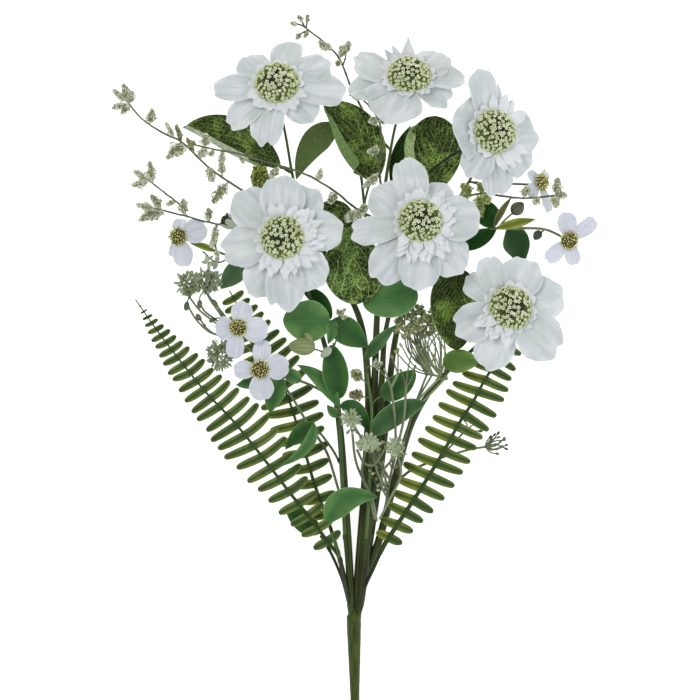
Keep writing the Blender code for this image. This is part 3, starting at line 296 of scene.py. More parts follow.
class Signal:
    """A value in a material's nodes, with arithmetic that adds the nodes it needs."""

    def __init__(self, graph: "Graph", socket: bpy.types.NodeSocket) -> None:
        """Wraps an output socket."""
        self.graph = graph
        self.socket = socket

    def __add__(self, other: "Signal | float") -> "Signal":
        """The sum."""
        return self.graph.maths("ADD", self, other)

    __radd__ = __add__

    def __mul__(self, other: "Signal | float") -> "Signal":
        """The product."""
        return self.graph.maths("MULTIPLY", self, other)

    __rmul__ = __mul__

    def __sub__(self, other: "Signal | float") -> "Signal":
        """The difference."""
        return self.graph.maths("SUBTRACT", self, other)

    def __rsub__(self, other: "Signal | float") -> "Signal":
        """The difference from a number."""
        return self.graph.maths("SUBTRACT", other, self)

    def __abs__(self) -> "Signal":
        """The size without its sign."""
        return self.graph.maths("ABSOLUTE", self)

    def fraction(self) -> "Signal":
        """The part after the point."""
        return self.graph.maths("FRACT", self)

    def sine(self) -> "Signal":
        """The sine."""
        return self.graph.maths("SINE", self)

    def rise(self, low: float, high: float) -> "Signal":
        """A smooth change from 0 to 1.

        Args:
            low: The value at which it is 0.
            high: The value at which it is 1.

        Returns:
            The changed signal.
        """
        values = {"Value": self, "From Min": low, "From Max": high}
        node = self.graph.node("ShaderNodeMapRange", {"interpolation_type": "SMOOTHSTEP"}, values)
        return Signal(self.graph, node.outputs["Result"])


Value = Signal | float | Colour


class Graph:
    """A material and its nodes."""

    def __init__(self, name: str) -> None:
        """Makes the material with its one shader.

        Args:
            name: The material's name.
        """
        self.material = bpy.data.materials.new(name)
        self.material.use_nodes = True
        self.tree = self.material.node_tree
        self.shader = self.tree.nodes["Principled BSDF"]

    def node(self, kind: str, settings: dict[str, object] | None = None,
             values: dict[str | int, Value] | None = None) -> bpy.types.Node:
        """Adds a node.

        Args:
            kind: Its type.
            settings: What is set on the node itself, before its sockets.
            values: The numbers, colours or signals of its sockets.

        Returns:
            The node.
        """
        node = self.tree.nodes.new(kind)
        for name, value in (settings or {}).items():
            setattr(node, name, value)
        for name, value in (values or {}).items():
            self.feed(node.inputs[name], value)
        return node

    def feed(self, socket: bpy.types.NodeSocket, value: Value) -> None:
        """Links a signal to a socket, or sets the socket's own number or colour.

        Args:
            socket: The socket.
            value: What it takes.
        """
        if isinstance(value, Signal):
            self.tree.links.new(value.socket, socket)
        elif isinstance(value, tuple) and socket.type == "RGBA":
            socket.default_value = (*value, 1.0)
        else:
            socket.default_value = value

    def maths(self, operation: str, first: Signal | float, second: Signal | float = 0.0) -> Signal:
        """A Math node's result."""
        node = self.node("ShaderNodeMath", {"operation": operation}, {0: first, 1: second})
        return Signal(self, node.outputs[0])

    def attribute(self, name: str) -> Signal:
        """A value that the mesh carries."""
        return Signal(self, self.node("ShaderNodeAttribute", {"attribute_name": name}).outputs["Fac"])

    def attributes(self, *names: str) -> tuple[Signal, ...]:
        """Several values that the mesh carries."""
        return tuple(self.attribute(name) for name in names)

    def point(self) -> Signal:
        """The place on the object."""
        return Signal(self, self.node("ShaderNodeTexCoord").outputs["Object"])

    def vector(self, x: Signal | float, y: Signal | float, z: Signal | float = 0.0) -> Signal:
        """A vector of three values."""
        return Signal(self, self.node("ShaderNodeCombineXYZ", None, {0: x, 1: y, 2: z}).outputs[0])

    def noise(self, vector: Signal, scale: float, detail: float = 2.0) -> Signal:
        """Soft random cloudiness between 0 and 1."""
        node = self.node("ShaderNodeTexNoise", None, {"Vector": vector, "Scale": scale, "Detail": detail})
        return Signal(self, node.outputs["Fac"])

    def cells(self, vector: Signal, scale: float) -> Signal:
        """How far a place is from the nearest wall of a net of cells."""
        kind, walls = "ShaderNodeTexVoronoi", {"feature": "DISTANCE_TO_EDGE"}
        return Signal(self, self.node(kind, walls, {"Vector": vector, "Scale": scale}).outputs["Distance"])

    def mix(self, share: Signal | float, first: Signal | Colour, second: Signal | Colour) -> Signal:
        """A colour between two others."""
        node = self.node("ShaderNodeMix", {"data_type": "RGBA"}, {0: share, 6: first, 7: second})
        return Signal(self, node.outputs[2])

    def bump(self, height: Signal, depth: float, strength: float = 1.0) -> None:
        """Gives the shader a relief of a depth in metres."""
        node = self.node("ShaderNodeBump", None, {"Height": height, "Distance": depth, "Strength": strength})
        self.tree.links.new(node.outputs["Normal"], self.shader.inputs["Normal"])

    def surface(self, **values: Value) -> None:
        """Sets the shader's sockets, whose names are given with _ for a space."""
        for name, value in values.items():
            self.feed(self.shader.inputs[name.replace("_", " ")], value)


@dataclass(frozen=True)
class Finish:
    """What a surface is made of. Each kind paints its own nodes."""

    name: str

    def paint(self, graph: Graph) -> None:
        """Adds the finish's nodes to the graph of a new material."""
        raise NotImplementedError

    def material(self) -> bpy.types.Material:
        """Finds the finish's material, or makes it at its first use.

        Returns:
            The material.
        """
        known = bpy.data.materials.get(self.name)
        if known:
            return known
        graph = Graph(self.name)
        self.paint(graph)
        return graph.material


@dataclass(frozen=True)
class PetalCloth(Finish):
    """White pressed cloth with soft lengthwise pleats, pale green near its root."""

    light: Colour = (0.815, 0.845, 0.85)
    shade: Colour = (0.575, 0.62, 0.65)
    # The clouding's colour, which also paints the shade towards each petal's root.
    cloud_and_root_shade: Colour = (0.58, 0.655, 0.63)
    rim: Colour = (0.90, 0.92, 0.92)
    root: Colour = (0.56, 0.64, 0.34)
    root_end: float = 0.36

    def paint(self, graph: Graph) -> None:
        """Streaks along the petal, clouding, painted shade towards the root, a light rim, a green root and a
        fine weave.

        Args:
            graph: The graph of the material.
        """
        across, along, tone = graph.attributes("across", "along", "tone")
        out = abs(across * 2.0 - 1.0)
        streaks = graph.noise(graph.vector(across * 5.0 + tone * 40.0, along * 1.1, tone * 9.0), 1.5, 3.0)
        threads = graph.noise(graph.vector(across * 60.0, along * 4.0, tone * 9.0), 1.5, 1.0)
        clouds = graph.noise(graph.point(), 55.0)
        colour = graph.mix(streaks.rise(0.36, 0.66) * 0.62 + tone * 0.20, self.light, self.shade)
        colour = graph.mix(clouds.rise(0.42, 0.66) * 0.62, colour, self.cloud_and_root_shade)
        # Painted shade: each petal darkens towards its root, next to the dome.
        colour = graph.mix(along.rise(0.70, 0.15) * 0.40, colour, self.cloud_and_root_shade)
        colour = graph.mix(out.rise(0.82, 1.0) * 0.45 + along.rise(0.93, 1.0) * 0.35, colour, self.rim)
        colour = graph.mix(along.rise(self.root_end, 0.02) * 0.75, colour, self.root)
        graph.surface(
            Base_Color=colour, Roughness=threads * 0.15 + 0.62, Subsurface_Weight=0.15,
            Subsurface_Scale=2.0 * MM, Subsurface_Radius=(1.0, 0.95, 0.9), Sheen_Weight=0.12,
            Specular_IOR_Level=0.25)
        graph.bump(streaks * 0.5 + threads * 0.2, 0.4 * MM, 0.4)


@dataclass(frozen=True)
class BeadPlastic(Finish):
    """Small moulded beads whose colour runs between two by their tone."""

    dark: Colour
    light: Colour
    roughness: float = 0.5
    # The colour of the painted shade at each bead's foot.
    deep: Colour = (0.010, 0.022, 0.004)

    def paint(self, graph: Graph) -> None:
        """A colour by tone, with painted shade at each bead's foot and a fine grain.

        Args:
            graph: The graph of the material.
        """
        tone, along = graph.attributes("tone", "along")
        grain = graph.noise(graph.point(), 1800.0)
        colour = graph.mix(tone, self.dark, self.light)
        # Painted shade: the foot of each bead darkens towards the deep colour.
        colour = graph.mix(along.rise(0.35, 0.0) * 0.85, colour, self.deep)
        graph.surface(Base_Color=colour, Roughness=grain * 0.2 + (self.roughness - 0.1),
                      Subsurface_Weight=0.08, Subsurface_Scale=0.8 * MM)
        graph.bump(grain, 0.2 * MM, 0.5)


@dataclass(frozen=True)
class VeinedLeaf(Finish):
    """A printed cloth leaf: mottled green with a pale net of veins, grey-green behind."""

    dark: Colour = (0.003, 0.015, 0.001)
    bright: Colour = (0.054, 0.120, 0.007)
    vein: Colour = (0.500, 0.640, 0.200)
    back: Colour = (0.200, 0.300, 0.105)
    ribs: float = 5.0
    slant: float = 3.2
    webbed: float = 0.5
    patched: float = 60.0

    def paint(self, graph: Graph) -> None:
        """Mottling, side veins that run out from the midrib, and the net between them.

        Args:
            graph: The graph of the material.
        """
        across, along, behind, tone = graph.attributes("across", "along", "back", "tone")
        point = graph.point()
        out = abs(across * 2.0 - 1.0)
        wander = graph.noise(point, 55.0)
        wave = (along * self.ribs - out * self.slant + wander * 1.1 + tone).fraction()
        line = (0.5 - abs(wave - 0.5)).rise(0.055, 0.020)
        midrib = out.rise(0.050, 0.015)
        net = graph.cells(point, 320.0).rise(0.065, 0.020)
        fine = graph.cells(point, 620.0).rise(0.13, 0.02)
        patches = graph.noise(point, self.patched, 3.0)
        speckle = graph.noise(point, 430.0)
        lit = (patches * 1.5 + speckle * 0.45 + tone * 0.10).rise(0.98, 1.24)
        base = graph.mix(lit, self.dark, self.bright)
        base = graph.mix(fine * (lit * 0.34 + 0.12), base, self.vein)
        base = graph.mix(net * (lit * 0.40 + 0.35) * (self.webbed * 1.5), base, self.vein)
        base = graph.mix(line * (lit * 0.35 + 0.45), base, self.vein)
        base = graph.mix(midrib * 0.5, base, (0.10, 0.17, 0.03))
        base = graph.mix(out.rise(0.955, 0.99) * 0.7, base, (0.40, 0.54, 0.25))
        under = graph.mix(net * 0.25 + line * 0.35, self.back, (0.38, 0.46, 0.26))
        under = graph.mix(speckle.rise(0.35, 0.7) * 0.55, under, (0.11, 0.175, 0.05))
        graph.surface(Base_Color=graph.mix(behind, base, under), Roughness=speckle * 0.15 + 0.60,
                      Specular_IOR_Level=0.06)
        graph.bump(line * -0.9 + midrib * -1.0 + net * -0.45 + speckle * 0.3, 0.4 * MM, 0.6)


@dataclass(frozen=True)
class SmoothLeaf(Finish):
    """A soft waxy leaf, lighter towards its edge, with a faint midrib."""

    middle: Colour = (0.050, 0.160, 0.036)
    rim: Colour = (0.140, 0.290, 0.080)
    back: Colour = (0.120, 0.300, 0.080)
    gloss: float = 0.3

    def paint(self, graph: Graph) -> None:
        """A darker middle, a light rim and clouding.

        Args:
            graph: The graph of the material.
        """
        across, along, behind, tone = graph.attributes("across", "along", "back", "tone")
        point = graph.point()
        out = abs(across * 2.0 - 1.0)
        clouds = graph.noise(point, 75.0, 3.0)
        grain = graph.noise(point, 900.0)
        wave = (along * 7.0 - out * 3.0).fraction()
        line = (0.5 - abs(wave - 0.5)).rise(0.09, 0.0)
        colour = graph.mix((out * 0.5 + clouds * 0.9).rise(0.45, 1.10), self.middle, self.rim)
        colour = graph.mix(tone.rise(0.3, 1.0) * 0.35, colour, (0.030, 0.120, 0.022))
        colour = graph.mix(line * 0.15 + out.rise(0.05, 0.015) * 0.25, colour, self.rim)
        colour = graph.mix(out.rise(0.93, 0.99) * 0.7, colour, (0.36, 0.55, 0.26))
        colour = graph.mix(behind * 0.8, colour, self.back)
        graph.surface(Base_Color=colour, Roughness=grain * 0.12 + 0.45, Specular_IOR_Level=self.gloss)
        graph.bump(line * -0.4 + grain * 0.3 + out.rise(0.06, 0.01) * -0.8, 0.4 * MM, 0.6)


@dataclass(frozen=True)
class FernPlastic(Finish):
    """A moulded fern leaflet: dark along its midrib and olive-yellow at its edges."""

    middle: Colour = (0.032, 0.082, 0.008)
    rim: Colour = (0.190, 0.250, 0.045)

    def paint(self, graph: Graph) -> None:
        """The midrib's dark band, the pale rim and cross ribs.

        Args:
            graph: The graph of the material.
        """
        across, along, tone = graph.attributes("across", "along", "tone")
        point = graph.point()
        out = abs(across * 2.0 - 1.0)
        clouds = graph.noise(point, 110.0, 3.0)
        grain = graph.noise(point, 1000.0)
        ribs = (along * 14.0 - out * 1.2).fraction() - 0.5
        colour = graph.mix((out * 0.95 + clouds * 0.5 + tone * 0.30).rise(0.45, 1.35), self.middle, self.rim)
        colour = graph.mix(along.rise(0.85, 1.0) * 0.45, colour, self.rim)
        colour = graph.mix(along.rise(0.22, 0.0) * 0.6, colour, (0.020, 0.052, 0.006))
        graph.surface(Base_Color=colour, Roughness=grain * 0.15 + 0.42, Specular_IOR_Level=0.35)
        graph.bump(abs(ribs) * 0.5 + grain * 0.2 + out.rise(0.12, 0.0) * -0.8, 0.4 * MM, 0.6)


@dataclass(frozen=True)
class Flock(Finish):
    """Pale dusty flock on a lobe, with greener patches."""

    low: Colour = (0.210, 0.250, 0.095)
    high: Colour = (0.950, 0.960, 0.780)

    def paint(self, graph: Graph) -> None:
        """A colour by grain and patch, with rough dust.

        Args:
            graph: The graph of the material.
        """
        tone = graph.attribute("tone")
        dust = graph.noise(graph.point(), 1600.0, 3.0)
        patches = graph.noise(graph.point(), 260.0)
        colour = graph.mix((tone * 0.9 + dust * 0.3 + patches * 0.3).rise(0.45, 1.05), self.low, self.high)
        graph.surface(Base_Color=colour, Roughness=dust * 0.1 + 0.85, Sheen_Weight=0.2, Sheen_Roughness=0.6,
                      Specular_IOR_Level=0.2)
        graph.bump(dust, 0.5 * MM, 0.7)


@dataclass(frozen=True)
class StemPlastic(Finish):
    """An extruded stem with fine lengthwise ribs."""

    light: Colour = (0.118, 0.170, 0.026)
    dark: Colour = (0.034, 0.050, 0.008)
    roughness: float = 0.5
    shaded: float = 0.0

    def paint(self, graph: Graph) -> None:
        """Ribs round the stem, slow changes of its colour, and painted shade in dark bands from just above
        its foot.

        Args:
            graph: The graph of the material.
        """
        across, along, tone = graph.attributes("across", "along", "tone")
        point = graph.point()
        slow = graph.noise(point, 28.0, 3.0)
        grain = graph.noise(point, 700.0)
        ribs = (across * 31.0).sine()
        colour = graph.mix((slow * 0.9 + tone * 0.35).rise(0.30, 0.85), self.light, self.dark)
        colour = graph.mix(grain.rise(0.5, 0.8) * 0.30, colour, (0.13, 0.11, 0.035))
        # Painted shade: dark bands along the stem from just above its foot, as strong as shaded sets.
        band = (abs(across * 2.0 - 1.0) + slow * 0.4).rise(0.45, 0.80)
        shade = along.rise(0.25, 0.75) * (band * 0.5 + 0.5) * self.shaded
        colour = graph.mix(shade, colour, (0.016, 0.022, 0.010))
        graph.surface(Base_Color=colour, Roughness=grain * 0.15 + (self.roughness - 0.08),
                      Specular_IOR_Level=0.3)
        graph.bump(ribs * 0.5 + grain * 0.4, 0.35 * MM, 0.6)


@dataclass(frozen=True)
class BindingTape(Finish):
    """Crinkled floral tape, wound so that each turn laps the last."""

    light: Colour = (0.088, 0.132, 0.018)
    dark: Colour = (0.014, 0.024, 0.003)

    def paint(self, graph: Graph) -> None:
        """A faint dark line at each lap, lengthwise streaks and fine crepe.

        Args:
            graph: The graph of the material.
        """
        across, along = graph.attributes("across", "along")
        lap = along.fraction()
        crepe = graph.noise(graph.vector(across * 3.0, along * 9.0), 6.0, 3.0)
        streaks = graph.noise(graph.vector(across * 9.0, along * 0.5), 2.0, 3.0)
        grain = graph.noise(graph.point(), 800.0)
        colour = graph.mix((crepe * 0.5 + streaks * 0.8).rise(0.45, 0.90), self.light, self.dark)
        colour = graph.mix((0.5 - abs(lap - 0.5)).rise(0.06, 0.0) * 0.35, colour, (0.028, 0.042, 0.008))
        graph.surface(Base_Color=colour, Roughness=grain * 0.15 + 0.52, Specular_IOR_Level=0.3)
        graph.bump(crepe * 0.7 + streaks * 0.5 + grain * 0.3, 0.5 * MM, 0.7)


@dataclass(frozen=True)
class FloorPaper(Finish):
    """The pale seamless paper under the bunch, lit evenly from behind."""

    def paint(self, graph: Graph) -> None:
        """Almost even white, with a faint grain.

        Args:
            graph: The graph of the material.
        """
        grain = graph.noise(graph.point(), 9.0)
        colour = graph.mix(grain, (0.93, 0.93, 0.93), (0.95, 0.95, 0.95))
        graph.surface(Base_Color=colour, Roughness=0.9, Specular_IOR_Level=0.1,
                      Emission_Color=(1.0, 1.0, 1.0), Emission_Strength=0.80)


CLOTH = PetalCloth("petal_cloth")
RUFFLE = PetalCloth("ruffle_cloth", light=(0.94, 0.96, 0.98), shade=(0.82, 0.855, 0.885),
                    cloud_and_root_shade=(0.80, 0.84, 0.86), root_end=0.30)
SMALL_CLOTH = PetalCloth("small_petal_cloth", light=(0.78, 0.80, 0.88), shade=(0.60, 0.62, 0.73),
                         cloud_and_root_shade=(0.68, 0.71, 0.78), root=(0.52, 0.55, 0.30), root_end=0.2)
DOME_FLOOR = BeadPlastic("dome_floor", dark=(0.006, 0.014, 0.003), light=(0.085, 0.140, 0.020), roughness=0.7)
OPEN_FLORET = BeadPlastic("open_floret", dark=(0.50, 0.60, 0.18), light=(0.95, 0.98, 0.76),
                          deep=(0.12, 0.18, 0.02))
GREEN_BUD = BeadPlastic("green_bud", dark=(0.30, 0.39, 0.07), light=(0.74, 0.80, 0.36))
STAMEN = BeadPlastic("stamen_bead", dark=(0.24, 0.25, 0.03), light=(0.95, 0.95, 0.36))
EYE_FLOOR = BeadPlastic("eye_floor", dark=(0.040, 0.022, 0.005), light=(0.120, 0.075, 0.015), roughness=0.7)
VEINED = VeinedLeaf("veined_leaf")
STREAKED = VeinedLeaf("streaked_veined_leaf", bright=(0.076, 0.160, 0.009), ribs=12.0, slant=6.0, webbed=0.25,
                      patched=45.0)
NETTED = VeinedLeaf("netted_leaf", bright=(0.036, 0.095, 0.020), ribs=4.0, slant=2.4, webbed=0.6)
PALE_BACKED = VeinedLeaf("pale_backed_leaf", back=(0.56, 0.61, 0.48))
CURLED_VEINED = VeinedLeaf("light_curled_leaf", bright=(0.040, 0.092, 0.006), back=(0.42, 0.54, 0.24),
                           ribs=6.0, slant=4.0)
OLIVE_BACK = VeinedLeaf("olive_backed_leaf", back=(0.115, 0.165, 0.050))
SHADED_VEINED = VeinedLeaf("shaded_veined_leaf", dark=(0.005, 0.018, 0.003), bright=(0.035, 0.075, 0.012),
                           vein=(0.12, 0.18, 0.05))
SMOOTH = SmoothLeaf("smooth_leaf")
DEEP_LEAF = SmoothLeaf("deep_leaf", middle=(0.018, 0.082, 0.013), rim=(0.052, 0.160, 0.026))
SAGE_LEAF = SmoothLeaf("sage_leaf", middle=(0.030, 0.100, 0.024), rim=(0.085, 0.190, 0.060))
DARK_LEAF = SmoothLeaf("dark_leaf", middle=(0.010, 0.042, 0.008), rim=(0.026, 0.085, 0.014),
                       back=(0.011, 0.042, 0.007), gloss=0.05)
MOSS_LEAF = SmoothLeaf("moss_leaf", middle=(0.080, 0.165, 0.022), rim=(0.180, 0.300, 0.060))
BROWN_LEAF = SmoothLeaf("brown_leaf", middle=(0.070, 0.080, 0.016), rim=(0.200, 0.210, 0.070))
OLIVE_LEAF = SmoothLeaf("olive_leaf", middle=(0.125, 0.165, 0.012), rim=(0.400, 0.420, 0.060))
FERN = FernPlastic("fern_leaflet")
YELLOW_FERN = FernPlastic("yellow_fern_leaflet", middle=(0.060, 0.110, 0.006), rim=(0.290, 0.330, 0.045))
RACHIS = StemPlastic("fern_rib", light=(0.055, 0.120, 0.014), dark=(0.020, 0.050, 0.006), roughness=0.65)
# The wire stems carry painted shade in dark bands along them.
STEM = StemPlastic("stem_plastic", shaded=0.75)
TWIG = StemPlastic("twig_plastic", light=(0.210, 0.230, 0.120), dark=(0.080, 0.085, 0.040))
LEAF_STALK = StemPlastic("leaf_stalk", light=(0.120, 0.205, 0.055), dark=(0.045, 0.090, 0.020))
DARK_STALK = StemPlastic("dark_stalk", light=(0.014, 0.026, 0.007), dark=(0.004, 0.009, 0.002),
                         roughness=0.65)
TAPE = BindingTape("binding_tape")
FLOCK = Flock("sage_flock")
BROWN_FLOCK = Flock("brown_flock", low=(0.110, 0.120, 0.034), high=(0.600, 0.600, 0.300))
LIME_FLOCK = Flock("lime_flock", low=(0.110, 0.160, 0.014), high=(0.640, 0.700, 0.280))
CONE = BeadPlastic("olive_cone", dark=(0.060, 0.090, 0.008), light=(0.500, 0.600, 0.120), roughness=0.6)
DARK_BUD = BeadPlastic("dark_bud", dark=(0.030, 0.040, 0.020), light=(0.110, 0.125, 0.070), roughness=0.6,
                       deep=(0.020, 0.024, 0.012))
BUD_SCALE = SmoothLeaf("bud_scale", middle=(0.420, 0.460, 0.370), rim=(0.700, 0.740, 0.640),
                       back=(0.520, 0.560, 0.450))
STRAND = SmoothLeaf("bud_strand", middle=(0.130, 0.165, 0.045), rim=(0.560, 0.600, 0.320),
                    back=(0.290, 0.340, 0.140))
UMBEL_STALK = StemPlastic("umbel_stalk", light=(0.340, 0.400, 0.220), dark=(0.110, 0.140, 0.070))
UMBEL_BUD = BeadPlastic("umbel_bud", dark=(0.150, 0.190, 0.080), light=(0.470, 0.520, 0.250), roughness=0.65,
                        deep=(0.03, 0.05, 0.02))
DARK_UMBEL_BUD = BeadPlastic("dark_umbel_bud", dark=(0.060, 0.085, 0.045), light=(0.190, 0.230, 0.130),
                             roughness=0.65, deep=(0.03, 0.04, 0.02))
UMBEL_STAR = SmoothLeaf("umbel_star", middle=(0.420, 0.490, 0.290), rim=(0.720, 0.780, 0.560),
                        back=(0.300, 0.370, 0.200))
UMBEL_SCALE = SmoothLeaf("umbel_scale", middle=(0.370, 0.440, 0.310), rim=(0.800, 0.850, 0.680),
                         back=(0.400, 0.470, 0.330))
PAPER = FloorPaper("floor_paper")


def grid_faces(rows: int, columns: int, closed: bool = False) -> Array:
    """The quads of a grid of points.

    Args:
        rows: How many rows it has.
        columns: How many columns it has.
        closed: Whether its last column is joined to its first.

    Returns:
        The numbers of the points of each quad.
    """
    last = columns if closed else columns - 1
    row, column = np.meshgrid(np.arange(rows - 1), np.arange(last), indexing="ij")
    after = (column + 1) % columns
    low, high = row * columns, (row + 1) * columns
    return np.stack([low + column, low + after, high + after, high + column], axis=-1).reshape(-1, 4)


def rim_loop(rows: int, columns: int) -> Array:
    """The numbers of the points round the edge of a grid, in order."""
    grid = np.arange(rows * columns).reshape(rows, columns)
    return np.concatenate([grid[0], grid[1:, -1], grid[-1, -2::-1], grid[-2:0:-1, 0]])


def skin_faces(rings: int, sides: int) -> list[Array]:
    """The faces of a closed skin on rings of points, with a point at the middle of its first and last ring.

    Args:
        rings: How many rings there are.
        sides: How many points each has.

    Returns:
        The quads, and the triangles of the two ends. The two middle points come after all the rings.
    """
    first, count = np.arange(sides), rings * sides
    last = first + count - sides
    return [grid_faces(rings, sides, True),
            np.stack([np.roll(first, -1), first, np.full(sides, count)], axis=-1),
            np.stack([last, np.roll(last, -1), np.full(sides, count + 1)], axis=-1)]


class Form:
    """The points, faces and pattern values of a piece while it is made."""

    def __init__(self) -> None:
        """Starts with nothing."""
        self.points: list[Array] = []
        self.values: dict[str, list[Array]] = {"across": [], "along": [], "tone": [], "back": []}
        self.faces: list[tuple[Array, int]] = []
        self.finishes: list[Finish] = []
        self.count = 0

    def add(self, points: Array, faces: Sequence[Array], finish: Finish, across: Array | float = 0.5,
            along: Array | float = 0.5, tone: Array | float = 0.0, back: Array | float = 0.0) -> None:
        """Adds points and faces.

        Args:
            points: The points, one a row.
            faces: Arrays of triangles or quads, as numbers of those points.
            finish: What they are made of.
            across: Where each point lies across its petal or leaf, from 0 to 1.
            along: Where it lies along it, which a tube gives in centimetres.
            tone: What sets one bead, leaf or petal apart from the next.
            back: 1 on an underside.
        """
        if finish not in self.finishes:
            self.finishes.append(finish)
        slot = self.finishes.index(finish)
        self.points.append(points)
        for name, value in (("across", across), ("along", along), ("tone", tone), ("back", back)):
            self.values[name].append(np.broadcast_to(np.asarray(value, float), len(points)))
        self.faces += [(part + self.count, slot) for part in faces]
        self.count += len(points)

    def blade(self, surface: Array, thick: float, finish: Finish, tone: float = 0.0,
              across: Array | None = None, face_down: bool = False) -> None:
        """Adds a thin closed blade on a grid of points.

        Args:
            surface: The points as rows along the blade and columns across it.
            thick: Its thickness, which thins out at the edge.
            finish: What it is made of.
            tone: What sets it apart from the next blade.
            across: The place of each column across the blade, if they aren't even.
            face_down: Whether its underside is the side that faces up.
        """
        rows, columns, _ = surface.shape
        normal = unit(np.cross(np.gradient(surface, axis=1), np.gradient(surface, axis=0)))
        reduce = np.ones((rows, columns, 1))
        reduce[0] = reduce[-1] = reduce[:, 0] = reduce[:, -1] = 0.5
        lift = normal * reduce * thick / 2
        points = np.concatenate([(surface + lift).reshape(-1, 3), (surface - lift).reshape(-1, 3)])
        half = rows * columns
        quads = grid_faces(rows, columns)
        loop = rim_loop(rows, columns)
        after = np.roll(loop, -1)
        rim = np.stack([after, loop, loop + half, after + half], axis=-1)
        wide = np.linspace(0, 1, columns) if across is None else across
        wide = np.tile(np.tile(wide, rows), 2)
        long = np.tile(np.repeat(np.linspace(0, 1, rows), columns), 2)
        back = np.repeat([1.0, 0.0] if face_down else [0.0, 1.0], half)
        self.add(points, [quads, quads[:, ::-1] + half, rim], finish, wide, long, tone, back)

    def tube(self, route: Array, radii: Array | float, sides: int, finish: Finish, tone: float = 0.0) -> None:
        """Adds a tube with rounded ends along a route.

        Args:
            route: The points of its middle line.
            radii: One radius, or one for each point.
            sides: How many sides it has.
            finish: What it is made of.
            tone: What sets it apart from the next tube.
        """
        radius = np.broadcast_to(np.asarray(radii, float), len(route)).copy()
        heading = unit(np.gradient(route, axis=0))
        route = np.vstack([route[0] - heading[0] * radius[0] * 0.5, route,
                           route[-1] + heading[-1] * radius[-1] * 0.5])
        radius = np.concatenate([[radius[0] * 0.6], radius, [radius[-1] * 0.6]])
        side, other = frames(route)
        ring = around(side[:, None], other[:, None], np.arange(sides) * TAU / sides)
        points = (route[:, None] + ring * radius[:, None, None]).reshape(-1, 3)
        wide = np.tile(np.abs(2 * np.arange(sides) / sides - 1), len(route))
        long = np.repeat(distances(route) * CENTIMETRES_A_METRE, sides)
        self.add(np.vstack([points, route[0], route[-1]]), skin_faces(len(route), sides), finish,
                 np.concatenate([wide, [0.5, 0.5]]), np.concatenate([long, long[[0, -1]]]), tone)

    def scatter(self, template: tuple[Array, Array], centres: Array, turned: Array, finish: Finish,
                tones: Array | float = 0.5) -> None:
        """Adds many copies of a bead.

        Args:
            template: The bead's points and triangles.
            centres: Where the copies go, one a row.
            turned: Each copy's scaled axes.
            finish: What they are made of.
            tones: Their tones.
        """
        shape, triangles = template
        points = np.einsum("vi,kij->kvj", shape, turned) + centres[:, None]
        shift = np.arange(len(centres))[:, None, None] * len(shape)
        faces = (triangles[None] + shift).reshape(-1, 3)
        tone = np.repeat(np.broadcast_to(np.asarray(tones, float), len(centres)), len(shape))
        along = np.tile(shape[:, 2] * 0.5 + 0.5, len(centres))
        self.add(points.reshape(-1, 3), [faces], finish, 0.5, along, tone)

    def piece(self, name: str, node: str, slot: Slot) -> None:
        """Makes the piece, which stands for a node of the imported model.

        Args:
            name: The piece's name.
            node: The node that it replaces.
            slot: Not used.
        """
        mesh = bpy.data.meshes.new(name)
        points = np.vstack(self.points).astype(np.float32)
        corners = np.concatenate([faces.ravel() for faces, _ in self.faces]).astype(np.int32)
        sizes = np.concatenate([np.full(len(faces), faces.shape[1]) for faces, _ in self.faces])
        slots = np.concatenate([np.full(len(faces), number) for faces, number in self.faces])
        mesh.vertices.add(len(points))
        mesh.vertices.foreach_set("co", points.ravel())
        mesh.loops.add(len(corners))
        mesh.loops.foreach_set("vertex_index", corners)
        mesh.polygons.add(len(sizes))
        starts = np.concatenate([[0], np.cumsum(sizes)[:-1]])
        mesh.polygons.foreach_set("loop_start", starts.astype(np.int32))
        for finish in self.finishes:
            mesh.materials.append(finish.material())
        mesh.polygons.foreach_set("material_index", slots.astype(np.int32))
        mesh.update(calc_edges=True)
        mesh.validate()
        for key, parts in self.values.items():
            values = mesh.attributes.new(key, "FLOAT", "POINT")
            values.data.foreach_set("value", np.concatenate(parts).astype(np.float32))
        mesh.shade_smooth()
        mesh.set_sharp_from_angle(angle=SHARP_ANGLE)
        piece = bpy.data.objects.new(name, mesh)
        bpy.context.scene.collection.objects.link(piece)
        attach(piece, "root")
        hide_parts(node)
        LOG.info("%s: %d faces for %s", name, len(sizes), node)


@dataclass(frozen=True)
class Bow:
    """A curve from a start to an end that is drawn towards a third point between them."""

    start: Array
    pull: Array
    end: Array

    def point(self, t: Array) -> Array:
        """The curve's points at shares of its length."""
        t = np.asarray(t, float)[..., None]
        return self.start * (1 - t) ** 2 + self.pull * 2 * t * (1 - t) + self.end * t**2

    def heading(self, t: Array) -> Array:
        """Its unit directions there."""
        t = np.asarray(t, float)[..., None]
        return unit((self.pull - self.start) * (1 - t) + (self.end - self.pull) * t)

    def surface(self, reach: Array, wide: Array, lift: Array, normal: Array) -> Array:
        """A surface that follows the curve.

        Args:
            reach: The share of the curve's length at which each point of a grid lies.
            wide: How far each point lies to the side.
            lift: How far it is raised.
            normal: The direction in which the surface faces.

        Returns:
            The points of the grid.
        """
        heading = self.heading(reach)
        side = unit(np.cross(heading, normal))
        return self.point(reach) + side * wide[..., None] + np.cross(side, heading) * lift[..., None]


@dataclass(frozen=True)
class Petal:
    """A petal by the picture: its direction, its reach in columns, how far its tip rises, and its width."""

    angle: float
    reach: float
    rise: float
    width: float

    def tip(self) -> Array:
        """Where its tip lies from the flower's middle."""
        angle, reach = math.radians(self.angle), self.reach
        return np.array((math.cos(angle) * reach * PIXEL, math.sin(angle) * reach * PIXEL, self.rise * MM))


@dataclass(frozen=True)
class Ruffle:
    """An arc of narrow petals round a dome: first and last degree, reach in millimetres and rows."""

    start: float
    stop: float
    reach: float = 24.5
    rows: int = 1


